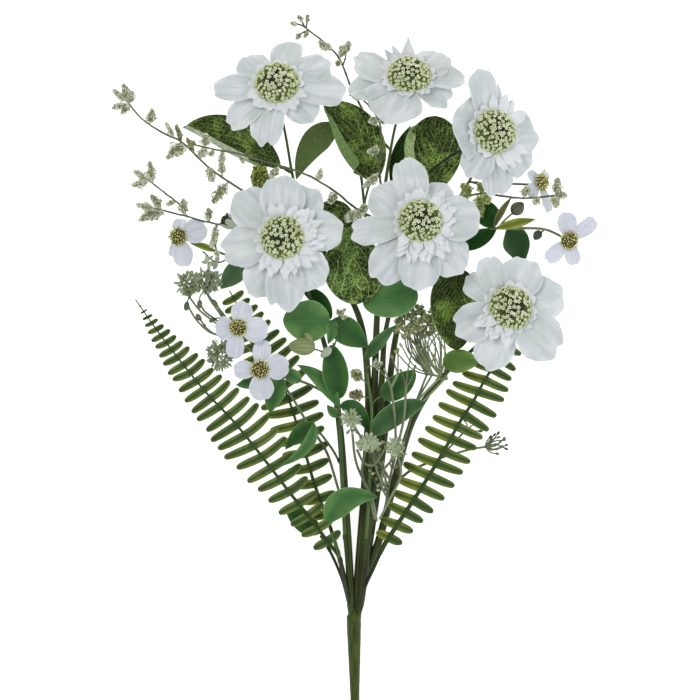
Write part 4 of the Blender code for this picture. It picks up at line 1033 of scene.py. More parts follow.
@dataclass(frozen=True)
class Bloom:
    """A flower: its spot, how far it leans and which way, its petals, and the arcs of its ruffle."""

    name: str
    spot: Spot
    lean: float
    toward: float
    petals: tuple[Petal, ...]
    ruffles: tuple[Ruffle, ...] = ()
    openness: float = 0.9

    def facing(self) -> Array:
        """The direction in which its face points.

        Returns:
            The unit direction.
        """
        lean, toward = math.radians(self.lean), math.radians(self.toward)
        level = math.sin(lean)
        return np.array((level * math.cos(toward), level * math.sin(toward), math.cos(lean)))

    def sides(self) -> tuple[Array, Array]:
        """Two directions square to its facing."""
        right = unit(np.cross(AHEAD, self.facing()))
        return right, np.cross(self.facing(), right)

    def centre(self, lift: float) -> Array:
        """The middle of its base, which the picture shows a lift behind its face."""
        normal = self.facing()
        return place(self.spot) - np.array((normal[0], normal[1], 0.0)) * lift


BLOOMS = (
    Bloom("upper_left", (277, 83, 77), 25, 95, (
        Petal(72, 46, -21, 21), Petal(142, 46, -15, 22), Petal(186, 64, 0, 21), Petal(221, 63, 2, 20.5),
        Petal(258, 65, 4, 22), Petal(317, 52, 8, 24), Petal(352, 69, 1, 26), Petal(24, 58, -6, 23)),
        (Ruffle(195, 345, 27.5),), 0.95),
    Bloom("top", (409, 74, 69), 42, 88, (
        Petal(163, 58, 0, 24), Petal(192, 62, 3, 24), Petal(243, 54, 14, 42),
        Petal(327, 48, 8, 24), Petal(355, 57, 0, 22), Petal(35, 45, -12, 27), Petal(91, 39, -16, 10),
        Petal(115, 38, -16, 9), Petal(132, 37, -15, 9), Petal(148, 43, -13, 11)),
        (Ruffle(55, 165, 27.5),), 0.95),
    Bloom("upper_right", (495, 132, 76), 25, 25, (
        Petal(104, 64, 2, 22), Petal(82, 49, -4, 12), Petal(60, 38, -9, 10), Petal(357, 46, -22, 28),
        Petal(308, 52, -14, 23), Petal(274, 64, 0, 23), Petal(240, 53, 12, 23), Petal(169, 40, 20, 44)),
        (Ruffle(20, 100, 33.0), Ruffle(272, 340, 33.5)), 0.95),
    Bloom("left", (283, 238, 92), 10, 100, (
        Petal(90, 62, -6, 30), Petal(57, 60, -7, 25), Petal(10, 61, -3, 27), Petal(-51, 62, -3, 27),
        Petal(-87, 73, 0, 26), Petal(-117, 65, -1, 27), Petal(192, 62, -2, 28), Petal(135, 65, -5, 30)),
        (Ruffle(-42, 54, 34.5, 3), Ruffle(228, 318, 33.5, 2), Ruffle(62, 118, 29.5)), 0.85),
    Bloom("right", (420, 222, 98), 12, 60, (
        Petal(103, 65, -8, 23), Petal(145, 58, -7, 29), Petal(191, 70, 1, 19), Petal(233, 73, 0, 27),
        Petal(269, 69, 0, 28), Petal(311, 66, -2, 28), Petal(4, 60, -6, 31), Petal(43, 48, -19, 28)),
        (Ruffle(-30, 62, 31.0, 2), Ruffle(76, 126, 27.0), Ruffle(222, 322, 36.0, 3)), 0.95),
    Bloom("lower_right", (510, 308, 83), 15, 40, (
        Petal(117, 57, 5, 20), Petal(143, 54, -6, 21), Petal(71, 53, -8, 30), Petal(18, 57, -6, 31),
        Petal(-45, 66, -2, 33), Petal(-111, 65, 0, 27), Petal(202, 60, 0, 26)),
        (Ruffle(195, 268, 33.0, 3),), 0.9),
)

SMALL_FLOWERS = (
    Bloom("far_left", (178, 236, 47), 18, 200, (
        Petal(18, 30, 3, 17), Petal(80, 19, -6, 10), Petal(252, 22, -8, 7), Petal(286, 32, 2, 15))),
    Bloom("left", (238, 328, 63), 8, 90, (
        Petal(76, 28, 1, 15), Petal(-7, 31, 1, 18), Petal(262, 31, -2, 12.5), Petal(184, 23, -3, 16.5))),
    Bloom("lower_left", (260, 370, 64), 8, 90, (
        Petal(84, 31, -3, 12.5), Petal(9, 30, 0, 18), Petal(275, 31, 0, 17), Petal(180, 27, 0, 13))),
    Bloom("far_right", (569, 240, 55), 15, 330, (
        Petal(36, 35, -2, 11.5), Petal(98, 29, 2, 14), Petal(224, 31, 3, 11.5), Petal(282, 26, -1, 11))),
    Bloom("behind_right", (540, 182, 46), 50, 10, (
        Petal(225, 17, 8, 11), Petal(285, 32, -2, 10), Petal(140, 15, 6, 9), Petal(60, 14, -8, 8))),
)

STEM_ROUTES: dict[str, tuple[Spot, ...]] = {
    "upper_left": ((357, 622, 6), (358, 580, 9), (364, 500, 20), (368, 430, 28), (368, 380, 33),
                   (360, 320, 36), (335, 270, 38), (307, 222, 42), (294, 182, 45), (286, 138, 47)),
    "top": ((359, 622, 6), (361, 580, 10), (368, 500, 22), (373, 430, 30), (375, 380, 34),
            (377, 320, 37), (381, 260, 38), (384, 200, 38), (389, 160, 42), (397, 120, 46)),
    "upper_right": ((357, 622, 6), (364, 580, 8), (376, 500, 18), (384, 440, 24), (390, 380, 30),
                    (400, 320, 33), (425, 260, 36), (455, 205, 38), (476, 168, 46)),
    "left": ((351, 622, 6), (350, 580, 9), (345, 500, 20), (340, 430, 30), (331, 370, 42),
             (314, 310, 54), (300, 268, 64)),
    "right": ((358, 622, 7), (364, 580, 12), (371, 500, 26), (379, 430, 34), (382, 380, 39),
              (386, 330, 43), (399, 280, 54), (411, 245, 67)),
    "lower_right": ((357, 622, 6), (365, 580, 8), (380, 540, 13), (398, 470, 20), (414, 420, 26),
                    (440, 380, 32), (476, 347, 42), (496, 325, 53)),
}


@dataclass
class ScabiosaHead:
    """A scabiosa head: broad outer petals in two levels, a ruffle of narrow ones, and a dome of florets."""

    bloom: Bloom
    rng: np.random.Generator
    lift: float = 5.0 * MM
    root: float = 6.0 * MM
    levels: tuple[float, float] = (-0.6 * MM, -2.6 * MM)
    spread: float = 2.0
    fullness: float = 1.14
    slim_width: float = 14.0
    collar_petals: int = 16
    dome_sides: int = 32
    dome_radius: float = 15.4 * MM
    dome_height: float = 10.8 * MM
    dome_lift: float = 1.9 * MM

    def petal_grid(self, petal: Petal, level: float) -> Array:
        """The surface of an outer petal, with its soft folds and broad round end.

        Args:
            petal: The petal.
            level: How far its root lies from the middle of the head.

        Returns:
            The points as rows along the petal and columns across it.
        """
        centre, normal, rng = self.bloom.centre(self.lift), self.bloom.facing(), self.rng
        tip = petal.tip()
        tip[:2] += (place(self.bloom.spot) - centre)[:2]
        out = unit(tip - normal * (tip @ normal))
        length = float(np.linalg.norm(tip))
        bow = Bow(centre + out * self.root + normal * level,
                  centre + out * length * 0.5 + normal * level * 1.5,
                  centre + tip + normal * level * self.spread)
        along, across = sheet(24, 19)
        slim = petal.width < self.slim_width
        widest = petal.width * self.fullness * MM / 2
        waves = rng.uniform(0.006, 0.030) * np.sin(across * rng.uniform(5, 8) + rng.uniform(0, 6))
        waves -= rng.uniform(0.0, 0.060) * np.exp(-(((across - rng.uniform(-0.5, 0.5)) / 0.16) ** 2))
        round_end = (1.7 if slim else 0.92) * widest / length * (1 - np.sqrt(1 - 0.97 * across**2))
        reach = along - round_end * along**4 + waves * along**7
        half = widest * np.where(
            along < 0.66, 0.24 + 0.76 * np.sin(np.pi / 2 * np.clip(along / 0.66, 0, 1)),
            1 - 0.06 * (np.clip(along - 0.66, 0, 1) / 0.34) ** 2)
        if slim:
            half = widest * np.sin(np.pi * (0.14 + 0.78 * along)) ** 0.8
        size = (0.5 if slim else 1.0) * MM
        turns, start, skew = rng.uniform(0.8, 1.4), rng.uniform(0, TAU), rng.uniform(-1, 1)
        folds = 1.10 * size * np.sin(TAU * turns * across * 0.5 * (1 + 0.2 * along) + start)
        folds *= ease(along, 0.05, 0.5)
        creases = 0.34 * size * np.cos(TAU * 2.2 * across + start * 2) * ease(along, 0.0, 0.3)
        folds += creases * (1 - 0.6 * along)
        edge = 1.1 * size * across**2 * np.sin(TAU * (1.2 * along + 0.3 * across) + start * 3)
        edge *= ease(along, 0.2, 0.8)
        cup = half * rng.uniform(0.04, 0.16) * across**2
        twist = skew * 1.1 * size * across * along**2
        curl = -1.5 * size * rng.uniform(0.1, 1.3) * ease(along, 0.72, 1.0) ** 2
        return bow.surface(reach, across * half, folds + edge + cup + twist + curl, normal)

    def floret_grid(self, turn: float, reach: float, rise: float, width: float,
                    toothed: float = 1.0) -> Array:
        """The surface of a narrow petal of the ruffle, whose end has small teeth.

        Args:
            turn: Its direction round the head.
            reach: How far its tip is from the head's axis.
            rise: How far its tip rises above the head's base.
            width: Its width.
            toothed: How deep its teeth are, 1 for those of the ruffle.

        Returns:
            The points as rows along it and columns across it.
        """
        centre, normal, rng = self.bloom.centre(self.lift), self.bloom.facing(), self.rng
        right, ahead = self.bloom.sides()
        out = right * math.cos(turn) + ahead * math.sin(turn)
        bow = Bow(centre + out * 8.0 * MM + normal * 0.2 * MM,
                  centre + out * (4 * MM + reach * 0.55) + normal * rise * 0.9,
                  centre + out * reach + normal * rise * rng.uniform(0.55, 1.0))
        along, across = sheet(11, 9)
        teeth = 0.07 * toothed * (1 + np.cos(TAU * across * 1.1 + rng.uniform(-1.4, 1.4))) * along**6
        bent = along - teeth - (0.10 + 0.10 * toothed) * across**2 * along**4
        outline = np.where(along < 0.6, 0.5 + 0.5 * np.sin(np.pi / 2 * along / 0.6),
                           np.sqrt(1 - 0.75 * (np.clip(along - 0.6, 0, 1) / 0.4) ** 2))
        half = width / 2 * outline
        cup = rng.choice([0.34, 0.2, -0.25]) * half * np.sqrt(across**2 + 0.02)
        sway = rng.uniform(-1, 1) * 1.2 * MM * along**2
        lift = cup + 0.3 * MM * np.sin(across * 6 + rng.uniform(0, 6)) * along
        return bow.surface(bent, across * half + sway, lift, normal)

    def add_collar(self, form: Form) -> None:
        """Adds the pleated collar round the dome.

        Args:
            form: The form it goes on.
        """
        rng, count = self.rng, self.collar_petals
        for k in range(count):
            turn = TAU * (k + rng.uniform(-0.2, 0.2)) / count
            reach, rise = rng.uniform(20.5, 22.5) * MM, rng.uniform(1.0, 1.8) * MM
            form.blade(self.floret_grid(turn, reach, rise, 8.0 * MM, 0.2), PETAL_THICK, RUFFLE, rng.random())

    def add_ruffle(self, form: Form, ruffle: Ruffle) -> None:
        """Adds an arc of narrow petals, row behind row.

        Args:
            form: The form they go on.
            ruffle: The arc.
        """
        rng, span = self.rng, ruffle.stop - ruffle.start
        for row in range(ruffle.rows):
            count = max(round(span / (18.0 + 3.0 * row)), 1)
            for k in range(count):
                turn = math.radians(ruffle.start + span * (k + 0.5 + rng.uniform(-0.3, 0.3)) / count)
                reach = (ruffle.reach - 4.0 * row + rng.uniform(-3.0, 1.0)) * MM
                rise = (2.8 + 2.1 * row + rng.uniform(-0.5, 0.6)) * MM
                width = (8.2 - 0.6 * row) * rng.uniform(0.85, 1.2) * MM
                grid = self.floret_grid(turn, reach, rise, width)
                form.blade(grid, PETAL_THICK, RUFFLE, rng.random() * 0.6)

    def build_petals(self) -> None:
        """The outer petals, the pleated collar, the ruffle and the receptacle that holds them."""
        form, rng = Form(), self.rng
        centre, normal = self.bloom.centre(self.lift), self.bloom.facing()
        for i, petal in enumerate(self.bloom.petals):
            form.blade(self.petal_grid(petal, self.levels[i % 2]), PETAL_THICK, CLOTH, rng.random())
        self.add_collar(form)
        for ruffle in self.bloom.ruffles:
            self.add_ruffle(form, ruffle)
        steps, radii = np.array((-2.8, -2.0, 0.4, 1.7)) * MM, np.array((6.0, 8.0, 9.8, 10.0)) * MM
        form.tube(centre + normal * steps[:, None], radii, 24, LEAF_STALK, 0.2)
        form.piece(f"petals_{self.bloom.name}", f"bloom_{self.bloom.name}_petals", Slot.PETALS)

    def dome_points(self, count: int, low: float, high: float) -> tuple[Array, Array]:
        """Places spread evenly over a band of the dome.

        Args:
            count: How many there are.
            low: The height share at which the band starts, 0 at the rim.
            high: The share at which it ends, 1 at the top.

        Returns:
            The places on the dome and the directions in which they face.
        """
        rng = self.rng
        share = high - (high - low) * (np.arange(count) + 0.5) / count
        turn = np.arange(count) * GOLDEN_TURN + rng.uniform(0, TAU) + rng.normal(0, 0.07, count)
        share = np.clip(share + rng.normal(0, 0.012, count), 0.0, 0.999)
        ring = np.sqrt(1 - share**2)
        normal, radial = self.bloom.facing(), around(*self.bloom.sides(), turn)
        base = self.bloom.centre(self.lift) + normal * self.dome_lift
        wide, high_up = ring * self.dome_radius, share * self.dome_height
        points = base + radial * wide[:, None] + normal * high_up[:, None]
        slope_out, slope_up = ring / self.dome_radius, share / self.dome_height
        return points, unit(radial * slope_out[:, None] + normal * slope_up[:, None])

    def florets(self, form: Form, count: int, low: float, high: float, arm: float, kept: float) -> None:
        """Adds open florets of five lobes over a band of the dome.

        Args:
            form: The form they go on.
            count: How many the band has room for.
            low: The height share at which the band starts.
            high: The share at which it ends.
            arm: How far each lobe is from its floret's middle.
            kept: The share of them that is there.
        """
        rng = self.rng
        spots, facing = self.dome_points(count, low, high)
        keep = rng.random(count) < kept
        spots, facing = spots[keep], unit(facing[keep] + rng.normal(0, 0.12, (int(keep.sum()), 3)))
        tops = spots + facing * (rng.uniform(0.5, 1.2, len(spots)) * MM)[:, None]
        tones = rng.random(len(spots))
        form.scatter(GRAIN, spots, axes(facing, 0.5 * MM, 1.2 * MM), GREEN_BUD, 0.15)
        form.scatter(GRAIN, tops + facing * 0.30 * MM, axes(facing, 0.40 * MM, 0.42 * MM), GREEN_BUD,
                     tones * 0.6 + 0.4)
        for k in range(5):
            turned = axes(facing, 1.0, 1.0, TAU * k / 5 + tones * 9)
            toward = unit(turned[:, 0] + facing * 0.25)
            size = arm * rng.uniform(0.52, 0.68, len(spots))
            shade = np.clip(0.25 + tones * 0.5 + rng.uniform(-0.1, 0.35, len(spots)), 0, 1)
            form.scatter(GRAIN, tops + toward * arm, axes(toward, size, size * 1.35), OPEN_FLORET, shade)

    def build_centre(self) -> None:
        """The dome: a dark floor, open florets over it and green buds round its rim."""
        form, rng, sides = Form(), self.rng, self.dome_sides
        normal, base = self.bloom.facing(), self.bloom.centre(self.lift)
        ring = around(*self.bloom.sides(), np.arange(sides) * TAU / sides)
        slope = np.linspace(0, np.pi / 2 * 0.97, 10)
        radius = np.concatenate([[13.0 * MM], np.cos(slope) * self.dome_radius])
        height = self.dome_lift + np.sin(slope) * self.dome_height
        height = np.concatenate([[self.dome_lift - 0.4 * MM], height])
        shell = base + ring[None] * radius[:, None, None] + normal * height[:, None, None]
        middles = base + normal * height[0], base + normal * (height[-1] + 0.05 * MM)
        shade = np.repeat(1 - ease(np.linspace(0, 1, len(radius)), 0.40, 0.85), sides)
        form.add(np.vstack([shell.reshape(-1, 3), *middles]), skin_faces(len(radius), sides), DOME_FLOOR,
                 tone=np.concatenate([shade, [1.0, 0.0]]))
        self.florets(form, 24, 0.82, 1.0, 1.05 * MM, self.bloom.openness)
        self.florets(form, 128, 0.05, 0.82, 0.84 * MM, 0.97)
        bands = ((170, 0.10, 0.80, 0.5), (90, 0.04, 0.50, 0.8), (100, -0.02, 0.22, 1.2))
        for count, low, high, reach in bands:
            spots, facing = self.dome_points(count, low, high)
            facing = unit(facing + rng.normal(0, 0.15, facing.shape))
            size = rng.uniform(0.38, 0.70, count) * MM
            spots = spots + facing * (rng.uniform(0.1, reach, count) * MM)[:, None]
            form.scatter(SPECK, spots, axes(facing, size, size * 1.5), GREEN_BUD, rng.random(count))
        form.piece(f"centre_{self.bloom.name}", f"bloom_{self.bloom.name}_centre", Slot.CENTRES)


@dataclass
class SmallFlower:
    """A small flower of four rounded petals round an eye of stamens. The eye's sizes are millimetres."""

    bloom: Bloom
    rng: np.random.Generator
    fullness: float = 1.1
    eye_radius: float = 6.2
    eye_height: float = 3.6
    stamens: int = 76
    stamen_reach: float = 7.2
    stamen_height: float = 5.6

    def petal_grid(self, petal: Petal, level: float) -> Array:
        """The surface of a petal.

        Args:
            petal: The petal.
            level: How far its root lies above the flower's middle.

        Returns:
            The points as rows along it and columns across it.
        """
        centre, normal, rng = place(self.bloom.spot), self.bloom.facing(), self.rng
        tip = petal.tip()
        out = unit(tip - normal * (tip @ normal))
        length = float(np.linalg.norm(tip))
        bow = Bow(centre + out * 1.5 * MM + normal * level,
                  centre + out * length * 0.5 + normal * level * 1.5,
                  centre + tip + normal * level * 2.2)
        along, across = sheet(15, 13)
        widest = petal.width * self.fullness * MM / 2
        notch = 0.05 * np.exp(-(((across - rng.uniform(-0.2, 0.2)) / 0.2) ** 2)) * along**6
        round_end = 0.95 * widest / length * (1 - np.sqrt(1 - 0.96 * across**2))
        reach = along - round_end * along**4 - notch
        half = widest * np.where(
            along < 0.62, 0.30 + 0.70 * np.sin(np.pi / 2 * np.clip(along / 0.62, 0, 1)),
            1 - 0.08 * (np.clip(along - 0.62, 0, 1) / 0.38) ** 2)
        start = rng.uniform(0, TAU)
        lift = half * 0.20 * across**2 + 0.35 * MM * np.sin(across * 4.5 + start) * along
        lift += 0.8 * MM * across**2 * np.sin(11 * along + start) * along
        lift -= 0.8 * MM * ease(along, 0.7, 1.0) * rng.uniform(-0.6, 1)
        return bow.surface(reach, across * half, lift, normal)

    def build_petals(self) -> None:
        """The petals and the disc behind them."""
        centre, normal, rng = place(self.bloom.spot), self.bloom.facing(), self.rng
        form = Form()
        for i, petal in enumerate(self.bloom.petals):
            grid = self.petal_grid(petal, (-0.4 * MM, 0.5 * MM)[i % 2])
            form.blade(grid, PETAL_THICK, SMALL_CLOTH, rng.random())
        form.tube(centre + normal * np.array((-1.2, 0.0, 1.2))[:, None] * MM,
                  np.array((2.6, 3.4, 3.4)) * MM, 16, LEAF_STALK, 0.3)
        form.piece(f"small_petals_{self.bloom.name}", f"small_flower_{self.bloom.name}_petals", Slot.PETALS)

    def build_eye(self) -> None:
        """The dark eye and its yellow-green stamens."""
        centre, normal, rng = place(self.bloom.spot), self.bloom.facing(), self.rng
        eye, base = Form(), centre + normal * 1.5 * MM
        right, ahead = self.bloom.sides()
        body = np.stack([right * self.eye_radius * MM, ahead * self.eye_radius * MM,
                         normal * self.eye_height * MM])[None]
        shape, faces = BEAD
        flat = shape.copy()
        flat[:, 2] = np.maximum(flat[:, 2], -0.05)
        eye.scatter((flat, faces), base[None], body, EYE_FLOOR)
        count = self.stamens
        share = 1 - 0.98 * (np.arange(count) + 0.5) / count
        turn = np.arange(count) * GOLDEN_TURN + rng.uniform(0, TAU) + rng.normal(0, 0.1, count)
        ring = np.sqrt(1 - share**2)
        radial = around(right, ahead, turn)
        stand = rng.uniform(0.78, 1.06, count)[:, None]
        facing = radial * ring[:, None] * 1.1 + normal * (share[:, None] + 0.25)
        facing = unit(facing + rng.normal(0, 0.1, (count, 3)))
        reach, height = ring * self.stamen_reach * MM, share * self.stamen_height * MM
        tips = base + (radial * reach[:, None] + normal * height[:, None]) * stand
        eye.scatter(GRAIN, tips - facing * 1.1 * MM, axes(facing, 0.17 * MM, 1.3 * MM), STAMEN, 0.1)
        size = rng.uniform(0.44, 0.76, count) * MM
        eye.scatter(GRAIN, tips, axes(facing, size, size * 1.2), STAMEN, rng.random(count) ** 0.6)
        eye.piece(f"eye_{self.bloom.name}", f"small_flower_{self.bloom.name}_eye", Slot.EYES)


@dataclass(frozen=True)
class Curl:
    """An edge of a leaf that rolls over its face: its hand, width, ends, and width share at the tip."""

    hand: int
    width: float
    start: float = 0.1
    stop: float = 0.92
    tip_share: float = 1.0


@dataclass(frozen=True)
class Leaf:
    """A leaf blade through three places, with its half-width in columns and its outline."""

    base: Spot
    middle: Spot
    tip: Spot
    half: float
    form: LeafForm = LeafForm.OVATE
    roll: float = 0.0
    fold: float = 0.12
    touches_table: bool = False
    curl: Curl | None = None
    face_down: bool = False
    finish: Finish | None = None

    def bow(self) -> Bow:
        """The bow through its base, middle and tip."""
        base, middle, tip = place(self.base), place(self.middle), place(self.tip)
        return Bow(base, middle * 2 - (base + tip) / 2, tip)

    def outline(self, along: Array) -> Array:
        """Its half-width along its length, as a share of the widest."""
        shift, bulge = self.form.value
        return np.maximum(np.sin(np.pi * np.asarray(along) ** shift), 0.0) ** bulge

    def surface(self, rng: np.random.Generator) -> tuple[Array, Array]:
        """Its surface, with waved edges and any rolled edge.

        Args:
            rng: The source of its small differences.

        Returns:
            The points as rows along it and columns across it, and each column's place across it.
        """
        bow, half = self.bow(), self.half * PIXEL
        rows, columns = (30, 19) if self.half > BROAD_LEAF else (20, 13)
        even = np.linspace(0, 1, rows)
        shares = 0.5 * even + 0.25 * (1 - np.cos(np.pi * even))
        along, across = np.meshgrid(shares, np.linspace(-1, 1, columns), indexing="ij")
        heading = bow.heading(along)
        flat = unit(np.cross(heading, UP))
        tilt = math.radians(self.roll)
        side = flat * math.cos(tilt) + np.cross(heading, flat) * math.sin(tilt)
        above = np.cross(side, heading)
        width = np.maximum(half * self.outline(along), 0.25 * MM)
        start = rng.uniform(0, TAU)
        wave = 0.045 * half * np.sin(TAU * 2.3 * along + start + across) * across**2 * np.sin(np.pi * along)
        quilt = -0.010 * half * np.cos(TAU * (8 * along - 1.7 * np.abs(across))) * np.sin(np.pi * along)
        quilt *= 1 - across**2
        keel = self.fold * (np.sqrt(across**2 + 0.015) - 0.12) * width
        lift = keel + wave + quilt
        points = bow.point(along) + side * (across * width)[..., None] + above * lift[..., None]
        places_across = np.linspace(0, 1, columns)
        if self.curl:
            points, places_across = self.rolled(points, side, above, shares, places_across)
        if self.touches_table:
            length = float(np.linalg.norm(bow.end - bow.start))
            share = np.linalg.norm(points - bow.start, axis=-1) / length
            fall = np.min(((points[..., 2] - LEAF_THICK / 2) / np.maximum(share, 1e-6))[share > 0.3])
            points[..., 2] -= fall * share
        return points, places_across

    def rolled(self, points: Array, side: Array, above: Array, shares: Array,
               across: Array) -> tuple[Array, Array]:
        """Adds the columns of an edge that rolls up and over the leaf's face.

        Args:
            points: The leaf's points.
            side: The directions across it.
            above: The directions away from its face.
            shares: The place of each row along it.
            across: The place of each column across it.

        Returns:
            The points with the rolled columns, and the place of each column.
        """
        curl = self.curl
        amount = ease(shares, curl.start, curl.start + 0.18) * ease(shares, curl.stop, curl.stop - 0.18)
        edge = 0 if curl.hand < 0 else -1
        out = side[:, edge] * curl.hand
        root, lift = points[:, edge], above[:, edge]
        width = curl.width * MM * (1 + (curl.tip_share - 1) * shares)
        columns, radius, turned = 10, np.minimum(1.7 * MM, 0.35 * width), math.radians(152)
        extra = []
        for step in np.linspace(0.12, 1.0, columns):
            bend = np.minimum(step / 0.5, 1.0) * turned * amount
            flat = max(step - 0.5, 0.0) / 0.5 * width * amount
            offset = out * (radius * np.sin(bend))[:, None] + lift * (radius * (1 - np.cos(bend)))[:, None]
            offset += around(out, lift, bend) * flat[:, None]
            offset += out * (0.02 * MM * step)
            extra.append(root + offset)
        strip = np.stack(extra, axis=1)
        places_out = across[edge] + curl.hand * np.linspace(0.0, 0.45, columns)
        parts, places_across = (points, strip), (across, places_out)
        if curl.hand < 0:
            parts, places_across = (strip[:, ::-1], points), (places_out[::-1], across)
        return np.concatenate(parts, axis=1), np.concatenate(places_across)


@dataclass(frozen=True)
class Lobe:
    """A lobe on a twig: its foot, its tip, its radius and its finish."""

    start: Array
    end: Array
    radius: float
    finish: Finish

    def square_to(self, turn: Array) -> Array:
        """The directions square to its axis at the given turns round it."""
        first, second = frames(np.array([self.start, self.end]))
        return around(first[0], second[0], turn)

    def add_fuzz(self, form: Form, rng: np.random.Generator) -> None:
        """Adds it as a ragged lobe of flock grains round a core.

        Args:
            form: The form it goes on.
            rng: The source of its small differences.
        """
        start, radius, axis = self.start, self.radius, self.end - self.start
        length = float(np.linalg.norm(axis))
        count = int(np.clip(length * radius / FLOCK_AREA, 60, 260))
        share, turn = (np.arange(count) + 0.5) / count, np.arange(count) * GOLDEN_TURN
        swell, lean, phase = rng.uniform(0.65, 1.0), rng.uniform(0.25, 0.40), rng.uniform(0, TAU, 3)
        profile = ease(share, 0.06, 0.30) * np.sin(np.pi * (0.10 + 0.86 * share) ** swell) ** 0.65
        lumps = 0.98 + 0.25 * np.sin(turn + phase[0] + share * 5)
        lumps += 0.22 * np.sin(2 * turn + phase[1] - share * 9)
        lumps += 0.14 * np.sin(share * 17 + phase[2]) + rng.normal(0, 0.20, count)
        ring = self.square_to(turn)
        out = unit(ring + axis / length * lean + rng.normal(0, 0.55, (count, 3)))
        spots = start + axis * (share * 1.03)[:, None] + ring * (profile * lumps * radius)[:, None]
        size = rng.uniform(0.34, 0.60, count) * MM
        tones = np.clip(rng.normal(0.62, 0.30, count) + 0.15 * np.sin(turn + phase[0]), 0, 1)
        form.scatter(SPECK, spots, axes(out, size, size * rng.uniform(1.2, 2.8, count)), self.finish, tones)
        core, along = start + axis * np.linspace(0.02, 0.97, 9)[:, None], np.linspace(0, 1, 9)
        thick = radius * 0.72 * ease(along, -0.05, 0.35)
        thick *= np.sin(np.pi * (0.1 + 0.82 * along) ** swell) ** 0.8
        form.tube(core, np.maximum(thick, 0.3 * MM) * rng.uniform(0.85, 1.15, 9), 9, self.finish, 0.15)

    def add_cone(self, form: Form, rng: np.random.Generator) -> None:
        """Adds it as a cone of blunt scales with a pale tail of flock.

        Args:
            form: The form it goes on.
            rng: The source of its small differences.
        """
        start, radius, axis = self.start, self.radius, self.end - self.start
        scales, flocks = 150, 40
        share = 0.18 + 0.74 * (np.arange(scales) + 0.5) / scales
        profile = np.sin(np.pi * (share - 0.10) / 0.88) ** 0.55 * radius * rng.normal(1, 0.13, scales)
        ring = self.square_to(np.arange(scales) * GOLDEN_TURN)
        spots = start + axis * share[:, None] + ring * profile[:, None]
        out = unit(ring + unit(axis) * 0.5 + rng.normal(0, 0.2, (scales, 3)))
        turned = axes(out, rng.uniform(0.5, 0.95, scales) * MM, 1.25 * MM)
        form.scatter(GRAIN, spots, turned, self.finish, rng.random(scales))
        thick = radius * 0.85 * np.sin(np.pi * (0.08 + 0.86 * np.linspace(0, 1, 8))) ** 0.6
        form.tube(start + axis * np.linspace(0.18, 0.92, 8)[:, None], thick, 12, self.finish)
        form.tube(start + axis * np.linspace(0, 0.25, 3)[:, None], 0.6 * MM, 7, TWIG)
        tail = rng.random(flocks)
        spots = start + axis * (0.90 + 0.12 * tail)[:, None]
        spots += ring[:flocks] * (radius * (0.7 - 0.5 * tail))[:, None]
        form.scatter(GRAIN, spots, axes(out[:flocks], 0.5 * MM, 0.8 * MM), FLOCK, tail)

    def add_half_open(self, form: Form, rng: np.random.Generator) -> None:
        """Adds it as a bud whose pale cup has just opened over a spiky heart.

        Args:
            form: The form it goes on.
            rng: The source of its small differences.
        """
        start, radius, axis = self.start, self.radius, self.end - self.start
        heart, spikes, cups = start + axis * 0.62, 90, 6
        share = 1 - (np.arange(spikes) + 0.5) / spikes
        ring = self.square_to(np.arange(spikes) * GOLDEN_TURN)
        out = unit(ring * np.sqrt(1 - share**2)[:, None] + unit(axis) * share[:, None])
        form.scatter(GRAIN, heart + out * radius * 0.74, axes(out, 0.45 * MM, 1.8 * MM), DARK_BUD,
                     rng.random(spikes))
        form.scatter(BEAD, heart[None], axes(unit(axis)[None], radius * 0.8, radius * 0.7), self.finish, 0.0)
        along, across = sheet(9, 7)
        swell = radius * (0.15 + 0.92 * np.sin(np.pi / 2 * np.minimum(along * 1.25, 1.0)))
        middle = start + axis * (along * (0.86 - 0.1 * across**2))[..., None]
        for k in range(cups):
            arm = self.square_to(across * 0.60 * (1 - 0.35 * along**2) + (TAU * k / cups + 0.5))
            form.blade((middle + arm * swell[..., None])[:, ::-1], CUP_THICK, BUD_SCALE, rng.random() * 0.4)

    def add(self, kind: BudKind, form: Form, rng: np.random.Generator) -> None:
        """Adds it to a form.

        Args:
            kind: What kind of lobe it is.
            form: The form it goes on.
            rng: The source of its small differences.
        """
        makers = {BudKind.FUZZ: self.add_fuzz, BudKind.CONE: self.add_cone,
                  BudKind.HALF_OPEN: self.add_half_open}
        makers[kind](form, rng)


